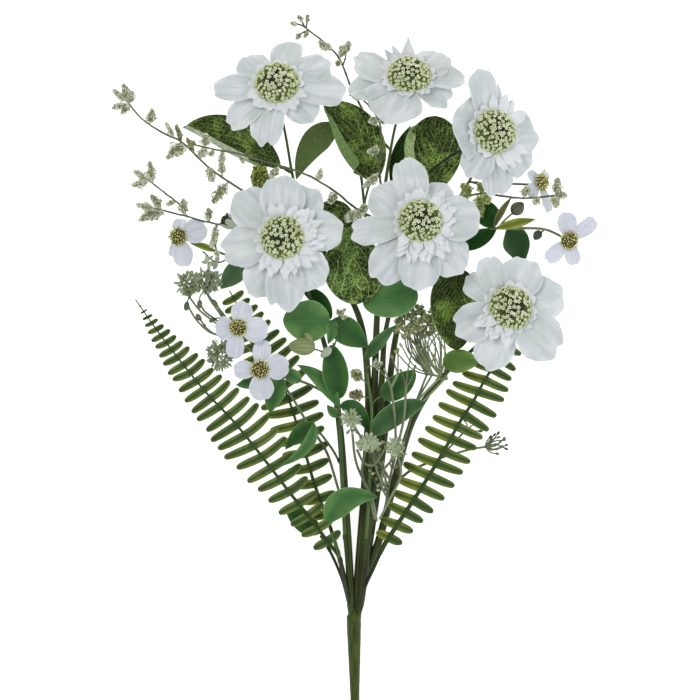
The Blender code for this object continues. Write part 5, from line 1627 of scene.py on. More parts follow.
@dataclass
class LeafWork:
    """A piece made of leaves, stalks and buds."""

    rng: np.random.Generator
    finish: Finish
    form: Form = field(default_factory=Form)

    def leaf(self, leaf: Leaf) -> None:
        """Adds a leaf.

        Args:
            leaf: The leaf.
        """
        surface, across = leaf.surface(self.rng)
        tone = self.rng.random() * 0.8
        self.form.blade(surface, LEAF_THICK, leaf.finish or self.finish, tone, across, leaf.face_down)

    def stalk(self, spots: Array, radius: float, end_radius: float | None = None,
              finish: Finish = LEAF_STALK) -> None:
        """Adds a stalk through a few places.

        Args:
            spots: The places, one a row.
            radius: Its radius in millimetres.
            end_radius: Its radius at its end, if that is another.
            finish: What it is made of.
        """
        route = smooth_route(spots, 6) if len(spots) > 2 else np.linspace(spots[0], spots[-1], 6)
        radii = np.linspace(radius, radius if end_radius is None else end_radius, len(route)) * MM
        self.form.tube(route, radii, 8, finish, self.rng.random() * 0.5)

    def bud(self, foot: Spot, tip: Spot, radius: float, scales: int = 5, finish: Finish = BUD_SCALE) -> None:
        """Adds a closed bud of overlapping scales.

        Args:
            foot: Where it leaves its stalk.
            tip: Its end.
            radius: Its radius in millimetres.
            scales: How many scales it has.
            finish: What they are made of.
        """
        start, axis = place(foot), place(tip) - place(foot)
        toward = axis / float(np.linalg.norm(axis))
        first = unit(np.cross(toward, np.array((0.31, 0.95, 0.1))))
        second = np.cross(toward, first)
        along, across = sheet(9, 7)
        profile = np.sin(np.pi * (0.06 + 0.88 * along) ** 0.85) ** 0.8
        spread = across * TAU / scales * 0.62 * (1 - 0.3 * along)
        middle = start + axis * (along * (1 - 0.05 * across**2))[..., None]
        for k in range(scales * 2):
            turn = TAU * (k + 0.5 * (k // scales)) / scales + 0.2
            out = first * math.cos(turn) + second * math.sin(turn)
            wide = -first * math.sin(turn) + second * math.cos(turn)
            swell = radius * MM * (0.90 + 0.1 * (k // scales)) * profile
            ring = around(out, wide, spread)
            surface = middle + ring * (swell + 0.15 * MM * (1 - across**2))[..., None]
            self.form.blade(surface[:, ::-1], SCALE_THICK, finish, self.rng.random())

    def lobe(self, foot: Spot, tip: Spot, radius: float, finish: Finish = FLOCK) -> None:
        """Adds a small fuzzy lobe of a radius in millimetres."""
        Lobe(place(foot), place(tip), radius * MM, finish).add_fuzz(self.form, self.rng)

    def piece(self, name: str, slot: Slot) -> None:
        """Makes the piece for the node of the same name."""
        self.form.piece(f"dressed_{name}", name, slot)


@dataclass
class TapedStems:
    """The taped handle, the wire stems of the heads, and the pegs that the other pieces are pushed on."""

    rng: np.random.Generator
    rings: tuple[tuple[float, float], ...] = ((612, 5.0), (619, 5.7), (629, 5.7), (700, 3.6), (735, 3.3))
    mouth: float = 621.0
    top_column: float = 353.6
    end_column: float = 355.4
    thick: float = 3.0 * MM
    thin: float = 0.95 * MM
    lap: float = 14.0 * MM
    sepals: int = 8
    form: Form = field(default_factory=Form)
    routes: dict[str, Array] = field(default_factory=dict)

    def add_handle(self) -> None:
        """The bundle wound with tape, its laps standing a little proud of each other."""
        rows = np.array([row for row, _ in self.rings])
        flats = np.array([flat for _, flat in self.rings]) * MM
        steps, sides = 230, 40
        row = np.linspace(rows[0], rows[-1], steps)
        share = (row - rows[0]) / (rows[-1] - rows[0])
        flat = np.interp(row, rows, flats)
        column = self.top_column + (self.end_column - self.top_column) * share
        centre = np.stack([(column - REST_COLUMN) * PIXEL, (REST_ROW - row) * PIXEL, flat], axis=-1)
        turn = np.arange(sides) * TAU / sides
        travelled = (row - rows[0]) * PIXEL / self.lap
        lap = travelled[:, None] + turn[None] / TAU
        ridge = (lap % 1.0) ** 1.6
        lumps = np.cos(5 * turn[None] + 2.5 * share[:, None]) * 0.5 + np.cos(3 * turn[None] - 1.1) * 0.5
        mouth = 1 - 0.45 * ease(row, self.mouth, rows[0])
        radius = flat[:, None] * (0.965 + 0.022 * ridge + 0.020 * (lumps - 1)) * mouth[:, None]
        ring = np.stack([np.cos(turn), np.zeros(sides), np.sin(turn)], axis=-1)
        points = centre[:, None] + ring[None] * radius[..., None]
        quads, *caps = skin_faces(steps, sides)
        faces = [quads[:, ::-1], *(cap[:, [1, 0, 2]] for cap in caps)]
        self.form.add(np.vstack([points.reshape(-1, 3), centre[0], centre[-1]]), faces, TAPE,
                      np.concatenate([np.tile(np.abs(2 * turn / TAU - 1), steps), [0.5, 0.5]]),
                      np.concatenate([lap.ravel(), [0.5, 0.5]]))

    def add_bloom_stem(self, bloom: Bloom) -> None:
        """Adds a wire stem from the handle, with the cup and sepals that hold its head.

        Args:
            bloom: The head.
        """
        normal, centre, depth = bloom.facing(), bloom.centre(5.0 * MM), 3.1 * MM
        behind, below = centre - normal * 22 * MM, centre - normal * (depth + 22 * MM) / 2
        route = smooth_route(np.vstack([places(STEM_ROUTES[bloom.name]), behind, below]), 8)
        self.routes[bloom.name] = route
        share = np.linspace(0, 1, len(route))
        radii = self.thin + (self.thick - self.thin) * (1 - ease(share, 0.2, 0.85))
        radii *= 0.55 + 0.45 * ease(share, 0.0, 0.05)
        self.form.tube(route, radii, 10, STEM, self.rng.random())
        cup = centre - normal * (depth + np.array((12.0, 10.0, 7.0, 4.0, 1.5, 0.0)) * MM)[:, None]
        self.form.tube(cup, np.array((1.2, 1.5, 2.6, 4.0, 5.0, 5.4)) * MM, 20, LEAF_STALK, 0.3)
        right, ahead = bloom.sides()
        along, across = sheet(8, 5)
        for k in range(self.sepals):
            turn = TAU * k / self.sepals + 0.2
            out = right * math.cos(turn) + ahead * math.sin(turn)
            bow = Bow(centre - normal * 8.5 * MM + out * 2.2 * MM,
                      centre - normal * 5.5 * MM + out * 6.5 * MM,
                      centre - normal * 5.2 * MM + out * 8.8 * MM)
            side = np.cross(bow.heading(along), normal)
            half = 2.1 * MM * (1 - along**1.6 * 0.93)
            self.form.blade(bow.point(along) + side * (across * half)[..., None], LEAF_THICK, SMOOTH, 0.4)

    def add_peg(self, stem: str, row: float, spots: Sequence[Spot], radius: float,
                length: float = 7.0) -> Array:
        """Adds a side peg on a stem, towards the given spots.

        Args:
            stem: The stem's name.
            row: The row of the picture at which the peg leaves it.
            spots: Where the twig on the peg goes.
            radius: The peg's radius in millimetres.
            length: How long the peg is, in millimetres.

        Returns:
            The rest of the route, for the piece on the peg.
        """
        start = crossing(self.routes[stem], row)
        return self.add_shoot(np.vstack([start, places(spots)]), radius, length)

    def add_shoot(self, points: Array, radius: float, length: float) -> Array:
        """Adds a shoot of the bundle along the first stretch of a route.

        Args:
            points: The places that the route passes, one a row.
            radius: The shoot's radius in millimetres.
            length: How long it is, in millimetres.

        Returns:
            The rest of the route.
        """
        route = smooth_route(points, 8) if len(points) > 2 else np.linspace(points[0], points[-1], 12)
        first, rest = cut_route(route, length * MM)
        radii = np.full(len(first), radius * MM)
        self.form.tube(first, radii, 10, STEM, self.rng.random())
        sleeve = walk(route, np.array((length - 3.0, length - 2.4, length + 0.8, length + 1.4)) * MM)[0]
        if length > 4:
            self.form.tube(sleeve, np.array((1.02, 1.3, 1.3, 1.1)) * radius * MM, 10, STEM, 0.8)
        return rest

    def build(self) -> None:
        """Makes the piece once every peg is on it."""
        self.form.piece("bound_stems", "taped_stems", Slot.STEMS)


@dataclass(frozen=True)
class FernSide:
    """One side of a frond: how far its leaflets lean and bend towards the tip, and how long they are."""

    lean: float
    bend: float = 0.04
    reach: float = 1.0


@dataclass
class FernFrond:
    """A fern frond: an arched rib with finger-shaped leaflets on both sides."""

    name: str
    route: Array
    pairs: int
    reach: float
    bare: float
    narrowing: float
    finish: tuple[Finish, Finish]
    rng: np.random.Generator
    right: FernSide = FernSide(4.0)
    left: FernSide = FernSide(4.0)
    broad_foot: float = 0.2
    least: float = 0.16
    crowding: float = 1.3
    snug: float = 0.90
    rib: tuple[float, float] = (1.55, 0.45)

    def leaflet(self, form: Form, foot: Array, toward: Array, side: Array, length: float, half: float,
                habit: FernSide, finish: Finish) -> None:
        """Adds a leaflet.

        Args:
            form: The form it goes on.
            foot: Where it leaves the rib.
            toward: The rib's direction there.
            side: The direction away from the rib.
            length: The leaflet's length.
            half: Its half-width.
            habit: How the leaflets of its side lean and bend.
            finish: What it is made of.
        """
        rng = self.rng
        lean = math.radians(habit.lean + rng.normal(0, 3))
        out = side * math.cos(lean) + toward * math.sin(lean)
        droop = rng.uniform(0.06, 0.15) * length
        bend = toward * length * (habit.bend + rng.uniform(-0.04, 0.04))
        bow = Bow(foot, foot + out * length * 0.5 + UP * 0.06 * length,
                  foot + out * length + bend - UP * droop)
        along, across = sheet(14, 9)
        cap = min(0.8 * half / length, 0.4)
        reach = along - cap * (1 - np.sqrt(1 - 0.97 * across**2)) * along**3
        outline = 0.86 + 0.16 * np.sin(np.pi * along) + self.broad_foot * (1 - along) ** 3 - 0.10 * along**4
        crown = half * (0.30 * (1 - across**2) - 0.16 * np.exp(-((across / 0.16) ** 2)))
        ripple = 0.05 * half * np.sin(along * 40) * across**2
        surface = bow.surface(reach, across * half * outline, crown + ripple, UP)
        form.blade(surface, LEAF_THICK, finish, rng.random())

    def build(self) -> None:
        """The rib and its leaflets, which shorten towards the tip."""
        form, rng = Form(), self.rng
        total, steps = float(distances(self.route)[-1]), 70
        rib, _ = walk(self.route, np.linspace(0, total, steps))
        form.tube(rib, np.linspace(*self.rib, steps) * MM, 9, RACHIS, 0.2)

        def spread(share: float) -> float:
            """How far along the rib a share of the leafy stretch lies."""
            crowded = self.crowding - (self.crowding - 1) * share
            return self.bare + (total - self.bare) * share * crowded * 0.985

        for i in range(self.pairs):
            share = i / (self.pairs - 1)
            low, high = (spread((i + 0.45 + way * self.snug) / self.pairs) for way in (-0.5, 0.5))
            taper = self.least + (1 - self.least) * (1 - share) / self.narrowing
            length = self.reach * min(1.0, 0.5 + 1.6 * share, taper) * PIXEL
            half = min((high - low) / 2, 3.3 * MM, 0.46 * length) * (0.98 - 0.60 * self.narrowing * share**2)
            foot, toward = walk(self.route, (low + high) / 2)
            side = unit(np.cross(toward, UP))
            for hand, habit, finish in ((1, self.right, self.finish[0]), (-1, self.left, self.finish[1])):
                start = foot + side * hand * 0.4 * MM
                reach = length * habit.reach * rng.uniform(0.94, 1.03)
                self.leaflet(form, start, toward, side * hand, reach, half, habit, finish)
        form.piece(f"dressed_{self.name}", self.name, Slot.FERNS)


@dataclass(frozen=True)
class Cluster:
    """Lobes that leave a spray's stem one behind the other: foot of the first, tips and radius."""

    foot: Spot
    tips: tuple[Spot, ...]
    radius: float
    kind: BudKind = BudKind.FUZZ
    finish: Finish = FLOCK


@dataclass
class Spray:
    """A pale fuzzy spray: a thin stem with small flocked lobes."""

    name: str
    route: Array
    clusters: tuple[Cluster, ...]
    rng: np.random.Generator
    stalks: tuple[tuple[Spot, ...], ...] = ()
    spacing: float = 1.7 * MM

    def build(self) -> None:
        """The stem, its side stalks and its lobes."""
        form, steps = Form(), 40
        routes = [self.route] + [smooth_route(places(stalk), 6) for stalk in self.stalks]
        for i, route in enumerate(routes):
            fine, _ = walk(route, np.linspace(0, distances(route)[-1], steps))
            wander = self.rng.normal(0, 0.10 * MM, fine.shape)
            wander[0] = wander[-1] = 0
            radii = np.linspace(0.95, 0.65, steps) * MM if i == 0 else np.full(steps, 0.65 * MM)
            form.tube(fine + wander, radii * self.rng.uniform(0.9, 1.15, steps), 8, TWIG, 0.4)
        for cluster in self.clusters:
            foot = place(cluster.foot)
            gaps = [np.linalg.norm(walk(route, nearest(route, foot))[0] - foot) for route in routes]
            near = routes[int(np.argmin(gaps))]
            first = nearest(near, foot)
            for i, tip in enumerate(cluster.tips):
                start, _ = walk(near, max(first - self.spacing * i, 0.0))
                Lobe(start, place(tip), cluster.radius * MM, cluster.finish).add(cluster.kind, form, self.rng)
        form.piece(f"dressed_{self.name}", self.name, Slot.SPRAYS)


@dataclass(frozen=True)
class RayGroup:
    """The rays of an umbel from one foot, each with a bud or a small star of buds on its end."""

    foot: Spot
    buds: tuple[Spot, ...]
    radius: float
    starry: bool = True
    finish: Finish = UMBEL_BUD


@dataclass(frozen=True)
class Tuft:
    """Small pointed scale leaves that crowd over an oval: its middle, half-width, half-height and count."""

    middle: Spot
    wide: float
    deep: float
    count: int
    length: float = 5.0


@dataclass
class Umbel:
    """A grey-green umbel: a stalk that forks into fine rays with small buds."""

    name: str
    route: Array
    groups: tuple[RayGroup, ...]
    rng: np.random.Generator
    stalks: tuple[tuple[Spot, ...], ...] = ()
    heads: tuple[tuple[Spot, float, float], ...] = ()
    tufts: tuple[Tuft, ...] = ()
    fork: float = 0.8
    star_rays: int = 11

    def bud(self, form: Form, end: Array, toward: Array, radius: float, group: RayGroup) -> None:
        """Adds the end of a ray.

        Args:
            form: The form it goes on.
            end: Where the ray ends.
            toward: The ray's direction there.
            radius: The radius of the bud or star.
            group: The group that the ray is one of.
        """
        rng = self.rng
        if not group.starry:
            form.scatter(BEAD, end[None], axes(toward[None], radius * 0.8, radius * 1.3), group.finish,
                         rng.random(1))
            return
        count = self.star_rays
        turn = TAU * np.arange(count) / count + rng.uniform(0, 6)
        lean = np.where(np.arange(count) % 2, 0.95, 0.55) + rng.normal(0, 0.08, count)
        first, second = frames(np.array([end, end + toward * MM]))
        out = unit(around(first[0], second[0], turn) * np.sin(lean)[:, None] + toward * np.cos(lean)[:, None])
        middle = end - toward * radius * 0.6
        tips = middle + out * radius * rng.uniform(1.05, 1.6, count)[:, None]
        form.scatter(GRAIN, (middle + tips) / 2, axes(out, 0.22 * MM, radius * 0.7), UMBEL_STALK, 0.4)
        size = rng.uniform(0.20, 0.38, count) * radius + 0.3 * MM
        form.scatter(GRAIN, tips, axes(out, size, size * 1.6), group.finish, rng.random(count))

    def tuft(self, form: Form, tuft: Tuft) -> None:
        """Adds the scale leaves of a tuft, which point up and outwards from its middle.

        Args:
            form: The form they go on.
            tuft: The tuft.
        """
        rng, middle = self.rng, place(tuft.middle)
        reach = np.array((tuft.wide * PIXEL, tuft.deep * PIXEL, 2.0 * MM))
        along, across = sheet(5, 3)
        half = 1.25 * MM * np.sin(np.pi * (0.12 + 0.85 * along)) ** 0.8
        for k in range(tuft.count):
            turn, share = k * GOLDEN_TURN, math.sqrt((k + 0.5) / tuft.count)
            out = np.array((math.cos(turn) * share, math.sin(turn) * share, rng.uniform(-0.5, 1.0)))
            foot = middle + out * reach * 0.8
            toward = unit(out * np.array((1.0, 1.0, 0.4)) + rng.normal(0, 0.35, 3) + UP * 0.35)
            length = tuft.length * MM * rng.uniform(0.8, 1.25)
            side = unit(np.cross(toward, rng.normal(0, 1, 3)))
            bent = (0.18 * length * along**2)[..., None] * np.cross(side, toward)
            surface = foot + toward * (along * length)[..., None] + side * (across * half)[..., None] + bent
            form.blade(surface, SCALE_THICK, UMBEL_SCALE, rng.random())

    def star(self, form: Form, spot: Spot, radius: float, squash: float) -> None:
        """Adds a pale head seen from above: narrow florets that spread from one middle in two tiers.

        Args:
            form: The form it goes on.
            spot: Its middle.
            radius: Its radius in millimetres.
            squash: How deep it is for its width in the picture.
        """
        centre, rng = place(spot), self.rng
        along, across = np.meshgrid(np.linspace(0.05, 1, 8), np.linspace(-1, 1, 5), indexing="ij")
        blunt = np.sqrt(np.maximum(1 - (np.clip(along - 0.8, 0, 1) / 0.2) ** 2, 0.03))
        half = radius * MM * 0.135 * (0.35 + 0.65 * along) * blunt
        cup = UP * (0.3 * MM * across**2)[..., None]
        for tier, (count, reach, height) in enumerate(((15, 1.0, 0.2), (10, 0.70, 1.5), (5, 0.38, 2.4))):
            for k in range(count):
                turn = TAU * (k + 0.5 * tier) / count + rng.normal(0, 0.10)
                out = np.array((math.cos(turn), math.sin(turn) * squash, 0.0))
                stretch = out * radius * MM * reach * rng.uniform(0.84, 1.10)
                end = centre + stretch + UP * (height + rng.normal(0, 0.4)) * MM
                bow = Bow(centre - UP * 0.6 * MM, centre + stretch * 0.5 + UP * (height + 0.8) * MM, end)
                side = unit(np.cross(bow.heading(along), UP))
                surface = bow.point(along) + side * (across * half)[..., None] + cup
                form.blade(surface, PETAL_THICK, UMBEL_STAR, rng.random())
        form.scatter(GRAIN, (centre + UP * 1.2 * MM)[None], axes(UP[None], 1.2 * MM, 1.0 * MM), UMBEL_BUD,
                     0.4)

    def build(self) -> None:
        """The stalk, its forks, rays, tufts and heads."""
        form, rng, steps = Form(), self.rng, 30
        fine, _ = walk(self.route, np.linspace(0, distances(self.route)[-1], steps))
        form.tube(fine, np.linspace(1.05, 0.85, steps) * MM, 8, UMBEL_STALK, 0.6)
        for stalk in self.stalks:
            form.tube(smooth_route(places(stalk), 7), self.fork * MM, 8, UMBEL_STALK, rng.random() * 0.5)
        for group in self.groups:
            start = place(group.foot)
            form.scatter(BEAD, start[None], axes(UP[None], 1.1 * MM, 1.1 * MM), UMBEL_STALK, 0.6)
            for bud in group.buds:
                end = place(bud)
                bend = np.cross(end - start, UP) * rng.uniform(-0.2, 0.2)
                route = smooth_route(np.stack([start, (start + end) / 2 + bend, end]), 6)
                form.tube(route, np.linspace(0.62, 0.46, len(route)) * MM, 6, UMBEL_STALK, rng.random() * 0.7)
                self.bud(form, end, unit(route[-1] - route[-2]), group.radius * MM, group)
        for tuft in self.tufts:
            self.tuft(form, tuft)
        for spot, radius, squash in self.heads:
            self.star(form, spot, radius, squash)
        form.piece(f"dressed_{self.name}", self.name, Slot.UMBELS)


@dataclass
class Foliage:
    """Every leaf, twig, frond, spray and umbel of the bunch."""

    stems: TapedStems
    rng: np.random.Generator

    def leaves_on(self, name: str, slot: Slot, finish: Finish, rest: Array, spot: Spot,
                  leaves: Iterable[Leaf], step: int = 4, radius: float = 0.9) -> None:
        """Makes a piece of leaves on one stalk.

        Args:
            name: Its node.
            slot: Its material slot.
            finish: What the leaves are made of.
            rest: The route of the stalk from the end of its peg.
            spot: The place on a leaf up to which the stalk goes.
            leaves: The leaves.
            step: The stalk passes each point of the route whose number is a multiple of this.
            radius: The stalk's radius in millimetres.
        """
        work = LeafWork(self.rng, finish)
        for leaf in leaves:
            work.leaf(leaf)
        work.stalk(np.vstack([rest, place(spot)])[::step], radius)
        work.piece(name, slot)

    def make_ferns(self) -> None:
        """The three fronds."""
        add = self.stems.add_shoot
        route = add(places((
            (351, 615, 6), (346, 590, 10), (341, 570, 13), (338, 557, 16), (327, 543, 20), (315, 526, 24),
            (292, 497, 30), (263, 459, 35), (234, 423, 36), (201, 388, 31), (161, 338, 20),
            (133, 299, 9))), 1.3, 42)
        FernFrond("fern_left_front", route, 27, 31, 12 * MM, 0.66, (FERN, FERN), self.rng,
                  FernSide(-9.0, 0.15, 1.02), FernSide(11.0, 0.02), least=0.05, crowding=1.45).build()
        route = add(places((
            (352, 615, 5), (346, 585, 8), (340, 562, 11), (336, 548, 13), (327, 520, 14), (315, 488, 15),
            (302, 445, 15), (284, 390, 13), (250, 330, 9), (228, 290, 5))), 1.3, 48)
        FernFrond("fern_left_back", route, 19, 28, 24 * MM, 0.35, (FERN, YELLOW_FERN), self.rng,
                  FernSide(6.0), FernSide(6.0), least=0.42).build()
        route = add(places((
            (357, 615, 6), (365, 590, 12), (374, 570, 17), (384, 548, 20), (394, 532, 23), (409, 509, 26),
            (427, 481, 28), (445, 451, 28), (461, 422, 28), (474, 402, 28), (486, 380, 27), (500, 358, 26),
            (512, 338, 24))), 1.3, 52)
        FernFrond("fern_right", route, 17, 28, 7 * MM, 0.25, (FERN, YELLOW_FERN), self.rng,
                  FernSide(3.0, 0.05), FernSide(-13.0, 0.06), 0.3, 0.6, 1.1, 0.80, (1.9, 0.95)).build()

    def make_veined_leaves(self) -> None:
        """The broad leaves with a pale net of veins, some with an edge curled over."""
        peg, ovate, narrow, blunt = self.stems.add_peg, LeafForm.OVATE, LeafForm.NARROW, LeafForm.BLUNT
        rest = peg("upper_left", 173, ((284, 168, 46), (277, 166, 44)), 0.9, 5)
        self.leaves_on("leaf_upper_left", Slot.VEINED, PALE_BACKED, rest, (270, 160, 41), (
            Leaf((280, 167, 45), (230, 131, 26), (184, 123, 4), 17, ovate, -6, 0.10, True,
                 Curl(-1, 4.5, 0.08, 1.12)),))

        rest = peg("top", 300, ((370, 262, 34), (365, 212, 33), (361, 175, 33), (354, 148, 35)), 1.2, 11)
        work = LeafWork(self.rng, VEINED)
        work.leaf(Leaf((373, 182, 41), (357, 131, 45), (322, 101, 41), 22, ovate, 0, 0.10, False,
                       Curl(-1, 10.5, 0.04, 1.0, 0.2)))
        work.leaf(Leaf((339, 127, 35), (313, 142, 32), (296, 178, 27), 14, ovate, 10, -0.10, face_down=True,
                       finish=OLIVE_BACK))
        work.stalk(rest[::4], 1.2, 1.0, STEM)
        work.stalk(places(((364, 205, 33), (367, 192, 36), (371, 178, 41))), 0.9)
        work.stalk(places(((356, 152, 34.6), (348, 138, 35), (336, 128, 34.6))), 0.9)
        work.piece("leaves_top_centre", Slot.VEINED)

        rest = peg("upper_right", 150, ((470, 147, 60), (460, 151, 62), (447, 159, 60)), 1.0, 8)
        work = LeafWork(self.rng, CURLED_VEINED)
        work.leaf(Leaf((438, 190, 50), (435, 155, 49), (436, 115, 45), 28, blunt, 0, 0.06, False,
                       Curl(-1, 7, 0.06, 0.9)))
        work.stalk(rest[::4], 1.0, 1.0, DARK_STALK)
        work.stalk(places(((463, 149, 61), (452, 155, 63), (441, 163, 61), (432, 170, 54), (429, 173, 49))),
                   1.1, 0.8, DARK_STALK)
        work.piece("leaf_top_right", Slot.VEINED)

        rest = peg("top", 208, ((388, 192, 33), (391, 181, 29)), 0.9, 5.5)
        self.leaves_on("leaf_behind_top", Slot.VEINED, SHADED_VEINED, rest, (393, 174, 28.6), (
            Leaf((391, 182, 29), (400, 150, 28), (411, 124, 27), 7, narrow, 0, 0.2),), 3)

        rest = peg("top", 240, ((372, 231, 48), (360, 227, 55), (350, 228, 58)), 0.9)
        self.leaves_on("leaves_centre", Slot.VEINED, NETTED, rest, (350, 238, 59), (
            Leaf((349, 226, 58), (353, 264, 61), (358, 304, 58), 30, blunt, 0, 0.08),
            Leaf((350, 230, 57), (333, 214, 60), (311, 218, 58), 15, ovate, 0, 0.08, finish=VEINED),
            Leaf((385, 223, 44), (366, 226, 52), (349, 228, 57), 4.5, narrow, 0, 0.1, finish=VEINED)))

        rest = peg("upper_right", 272, ((438, 266, 49), (452, 268, 58)), 0.9)
        self.leaves_on("leaf_right", Slot.VEINED, STREAKED, rest, (458, 278, 60.5), (
            Leaf((458, 268, 60), (455, 306, 62), (457, 350, 58), 25, LeafForm.ROUND, 0, 0.08),))

    def make_smooth_leaves(self) -> None:
        """The leafy stems of smooth rounded leaves."""
        narrow, ovate, rounded = LeafForm.NARROW, LeafForm.OVATE, LeafForm.ROUND
        shoot = self.stems.add_shoot
        rest = shoot(places((
            (353, 615, 6), (349, 580, 12), (345, 540, 20), (343, 500, 28), (341, 450, 41), (339, 407, 50),
            (336, 365, 54), (331, 322, 60))), 1.4, 60)
        work = LeafWork(self.rng, SMOOTH)
        for leaf in (
            Leaf((338, 407, 51), (322, 381, 55), (297, 365, 56), 8, narrow),
            Leaf((338.5, 399, 51), (335, 370, 60), (331, 345, 63), 13, rounded, 0, 0.10, finish=DEEP_LEAF),
            Leaf((330, 322, 61), (306, 321, 66), (283, 320, 67), 21, rounded, 0, 0.08),
            Leaf((331, 320, 60), (332, 331, 63), (328, 344, 61), 6, ovate, 0, 0.12),
            Leaf((331, 319, 59), (317, 298, 57), (300, 290, 53), 8, ovate, 0, 0.10, finish=DARK_LEAF),
            Leaf((332, 320, 61), (349, 333, 61), (367, 347, 57), 14, ovate, 0, 0.08, finish=DEEP_LEAF),
            Leaf((340, 406, 50), (357, 412, 47), (369, 432, 43), 9, ovate, 0, 0.10, finish=DEEP_LEAF),
            Leaf((339.4, 416, 48), (333, 412, 50), (327, 405, 49), 5, narrow, 0, 0.10),
        ):
            work.leaf(leaf)
        work.stalk(rest[::6], 1.4, 1.0)
        work.stalk(places(((331, 323, 59.5), (338, 330, 65), (334, 346, 68), (326, 352, 69), (312, 348, 71))),
                   0.6)
        work.stalk(places(((333, 321, 60.5), (338, 318, 63), (341, 315, 65))), 0.6)
        for foot, tip in (((340, 316, 64), (345, 309, 66)), ((341, 316, 64), (337, 310, 65)),
                          ((341, 317, 64), (347, 317, 66))):
            work.lobe(foot, tip, 1.6)
        work.bud((331, 348, 69), (321, 357, 69), 3.0, 3)
        work.bud((315, 347, 71), (289, 346, 71), 6.4, 12, STRAND)
        work.bud((313, 343, 70), (305, 333, 71), 2.6, 4, STRAND)
        work.piece("leafy_stem_centre", Slot.SMOOTH)

        rest = shoot(places(((351, 615, 7), (346, 585, 13), (339, 556, 23), (331, 534, 31))), 1.2, 44)
        self.leaves_on("leaf_low", Slot.SMOOTH, SMOOTH, rest, (331, 522, 35.5), (
            Leaf((328, 524, 35), (345, 501, 41), (378, 498, 43), 13, ovate),), 3, 1.1)

        rest = shoot(places(((350, 613, 5), (342, 582, 7), (330, 554, 8), (319, 536, 7))), 1.1, 50)
        self.leaves_on("leaf_low_back", Slot.SMOOTH, DEEP_LEAF, rest, (316, 533, 7), (
            Leaf((319, 536, 7), (301, 522, 5), (284, 509, 2), 11, ovate, 0, 0.10, True),), 3, 1.0)

        rest = shoot(places((
            (358, 615, 8), (362, 580, 17), (366, 540, 27), (369, 500, 37), (371, 440, 47), (371, 400, 49),
            (364, 358, 50))), 1.3, 58)
        work = LeafWork(self.rng, DARK_LEAF)
        for leaf in (
            Leaf((372, 435, 47.5), (396, 414, 50), (425, 403, 46), 11.5, rounded, 0, 0.14, finish=SAGE_LEAF),
            Leaf((381, 396, 47), (399, 386, 46), (415, 371, 42), 12, rounded, 0, 0.10, finish=DEEP_LEAF),
            Leaf((364.5, 360, 49.9), (379, 342, 52), (396, 325, 50), 6.5, narrow, 0, 0.14, finish=SAGE_LEAF),
        ):
            work.leaf(leaf)
        work.stalk(rest[::6], 1.3, 1.0)
        work.stalk(places(((371, 406, 48.8), (377, 399, 47.6), (387, 393, 46.6))), 0.7)
        for foot, middle, tip in (((368, 384, 49.5), (363, 380, 52), (352, 371, 53)),
                                  ((370, 398, 49), (364, 397, 52), (350, 394, 53))):
            work.stalk(places((foot, middle, tip)), 0.5, 0.4, TWIG)
            work.lobe(middle, tip, 3.7, BROWN_FLOCK)
        work.stalk(places(((366, 368, 49.8), (372, 366, 52))), 0.5, 0.4, TWIG)
        work.lobe((372, 366, 52), (382, 363, 53), 2.0)
        work.piece("leafy_stem_right", Slot.SMOOTH)

        peg = self.stems.add_peg
        rest = peg("left", 470, ((331, 448, 35), (314, 426, 41)), 0.9, 9)
        self.leaves_on("leafy_twig_left", Slot.SMOOTH, SMOOTH, rest, (311, 427, 41.4), (
            Leaf((313, 422, 41), (307, 446, 45), (280, 467, 41), 6, narrow, 0, 0.14),
            Leaf((313, 424, 41), (299, 434, 39), (285, 450, 34), 8, ovate, 0, 0.10, finish=DEEP_LEAF)))

        rest = peg("right", 300, ((398, 300, 53),), 0.9, 3)
        self.leaves_on("leaf_under_right_bloom", Slot.SMOOTH, SMOOTH, rest, (396, 299, 56), (
            Leaf((417, 290, 55), (391, 299, 56), (363, 304, 54), 19, rounded, 0, 0.06),), 3)

        rest = peg("lower_right", 374, ((446, 367, 44),), 0.9, 5)
        self.leaves_on("leaf_under_lower_bloom", Slot.SMOOTH, MOSS_LEAF, rest, (449, 363, 48.6), (
            Leaf((444, 365, 47), (460, 361, 51), (478, 363, 49), 12, rounded, 0, 0.08),), 3)

    def flower_stalk(self, work: LeafWork, start: Array, name: str, radius: float) -> None:
        """Adds a thin stalk that ends in the seat of a small flower.

        Args:
            work: The piece it goes on.
            start: The points that it comes from.
            name: The flower's name.
            radius: Its radius in millimetres.
        """
        flower = next(flower for flower in SMALL_FLOWERS if flower.name == name)
        centre, normal = place(flower.spot), flower.facing()
        ends = centre - normal * np.array((9.0, 1.3))[:, None] * MM
        work.stalk(np.vstack([start, ends]), radius, radius * 0.9, TWIG)

    def make_flower_twigs(self) -> None:
        """The twigs that carry the small flowers, with their leaves and buds."""
        narrow, ovate = LeafForm.NARROW, LeafForm.OVATE
        peg = self.stems.add_peg
        rest = peg("upper_left", 264, ((300, 264, 36), (262, 262, 37), (230, 257, 39)), 1.1)
        work = LeafWork(self.rng, SMOOTH)
        self.flower_stalk(work, np.vstack([rest[::5], place((206, 247, 41))]), "far_left", 1.0)
        work.leaf(Leaf((250, 260.2, 37.7), (233, 273, 22), (219, 288, 4), 11, ovate, 0, 0.10, True,
                       finish=DEEP_LEAF))
        work.leaf(Leaf((214, 251, 40), (203, 246, 45), (189, 243, 41), 3.5, narrow, finish=OLIVE_LEAF))
        work.stalk(places(((230, 257, 39), (216, 262, 38), (202, 251, 38))), 0.6)
        for foot, tip in (((216, 262, 38), (213, 269, 38)), ((216, 262, 38), (217, 254, 38)),
                          ((209, 256.5, 38), (203, 262, 38))):
            work.bud(foot, tip, 1.6, 4)
        work.piece("leafy_twig_far_left", Slot.SMOOTH)

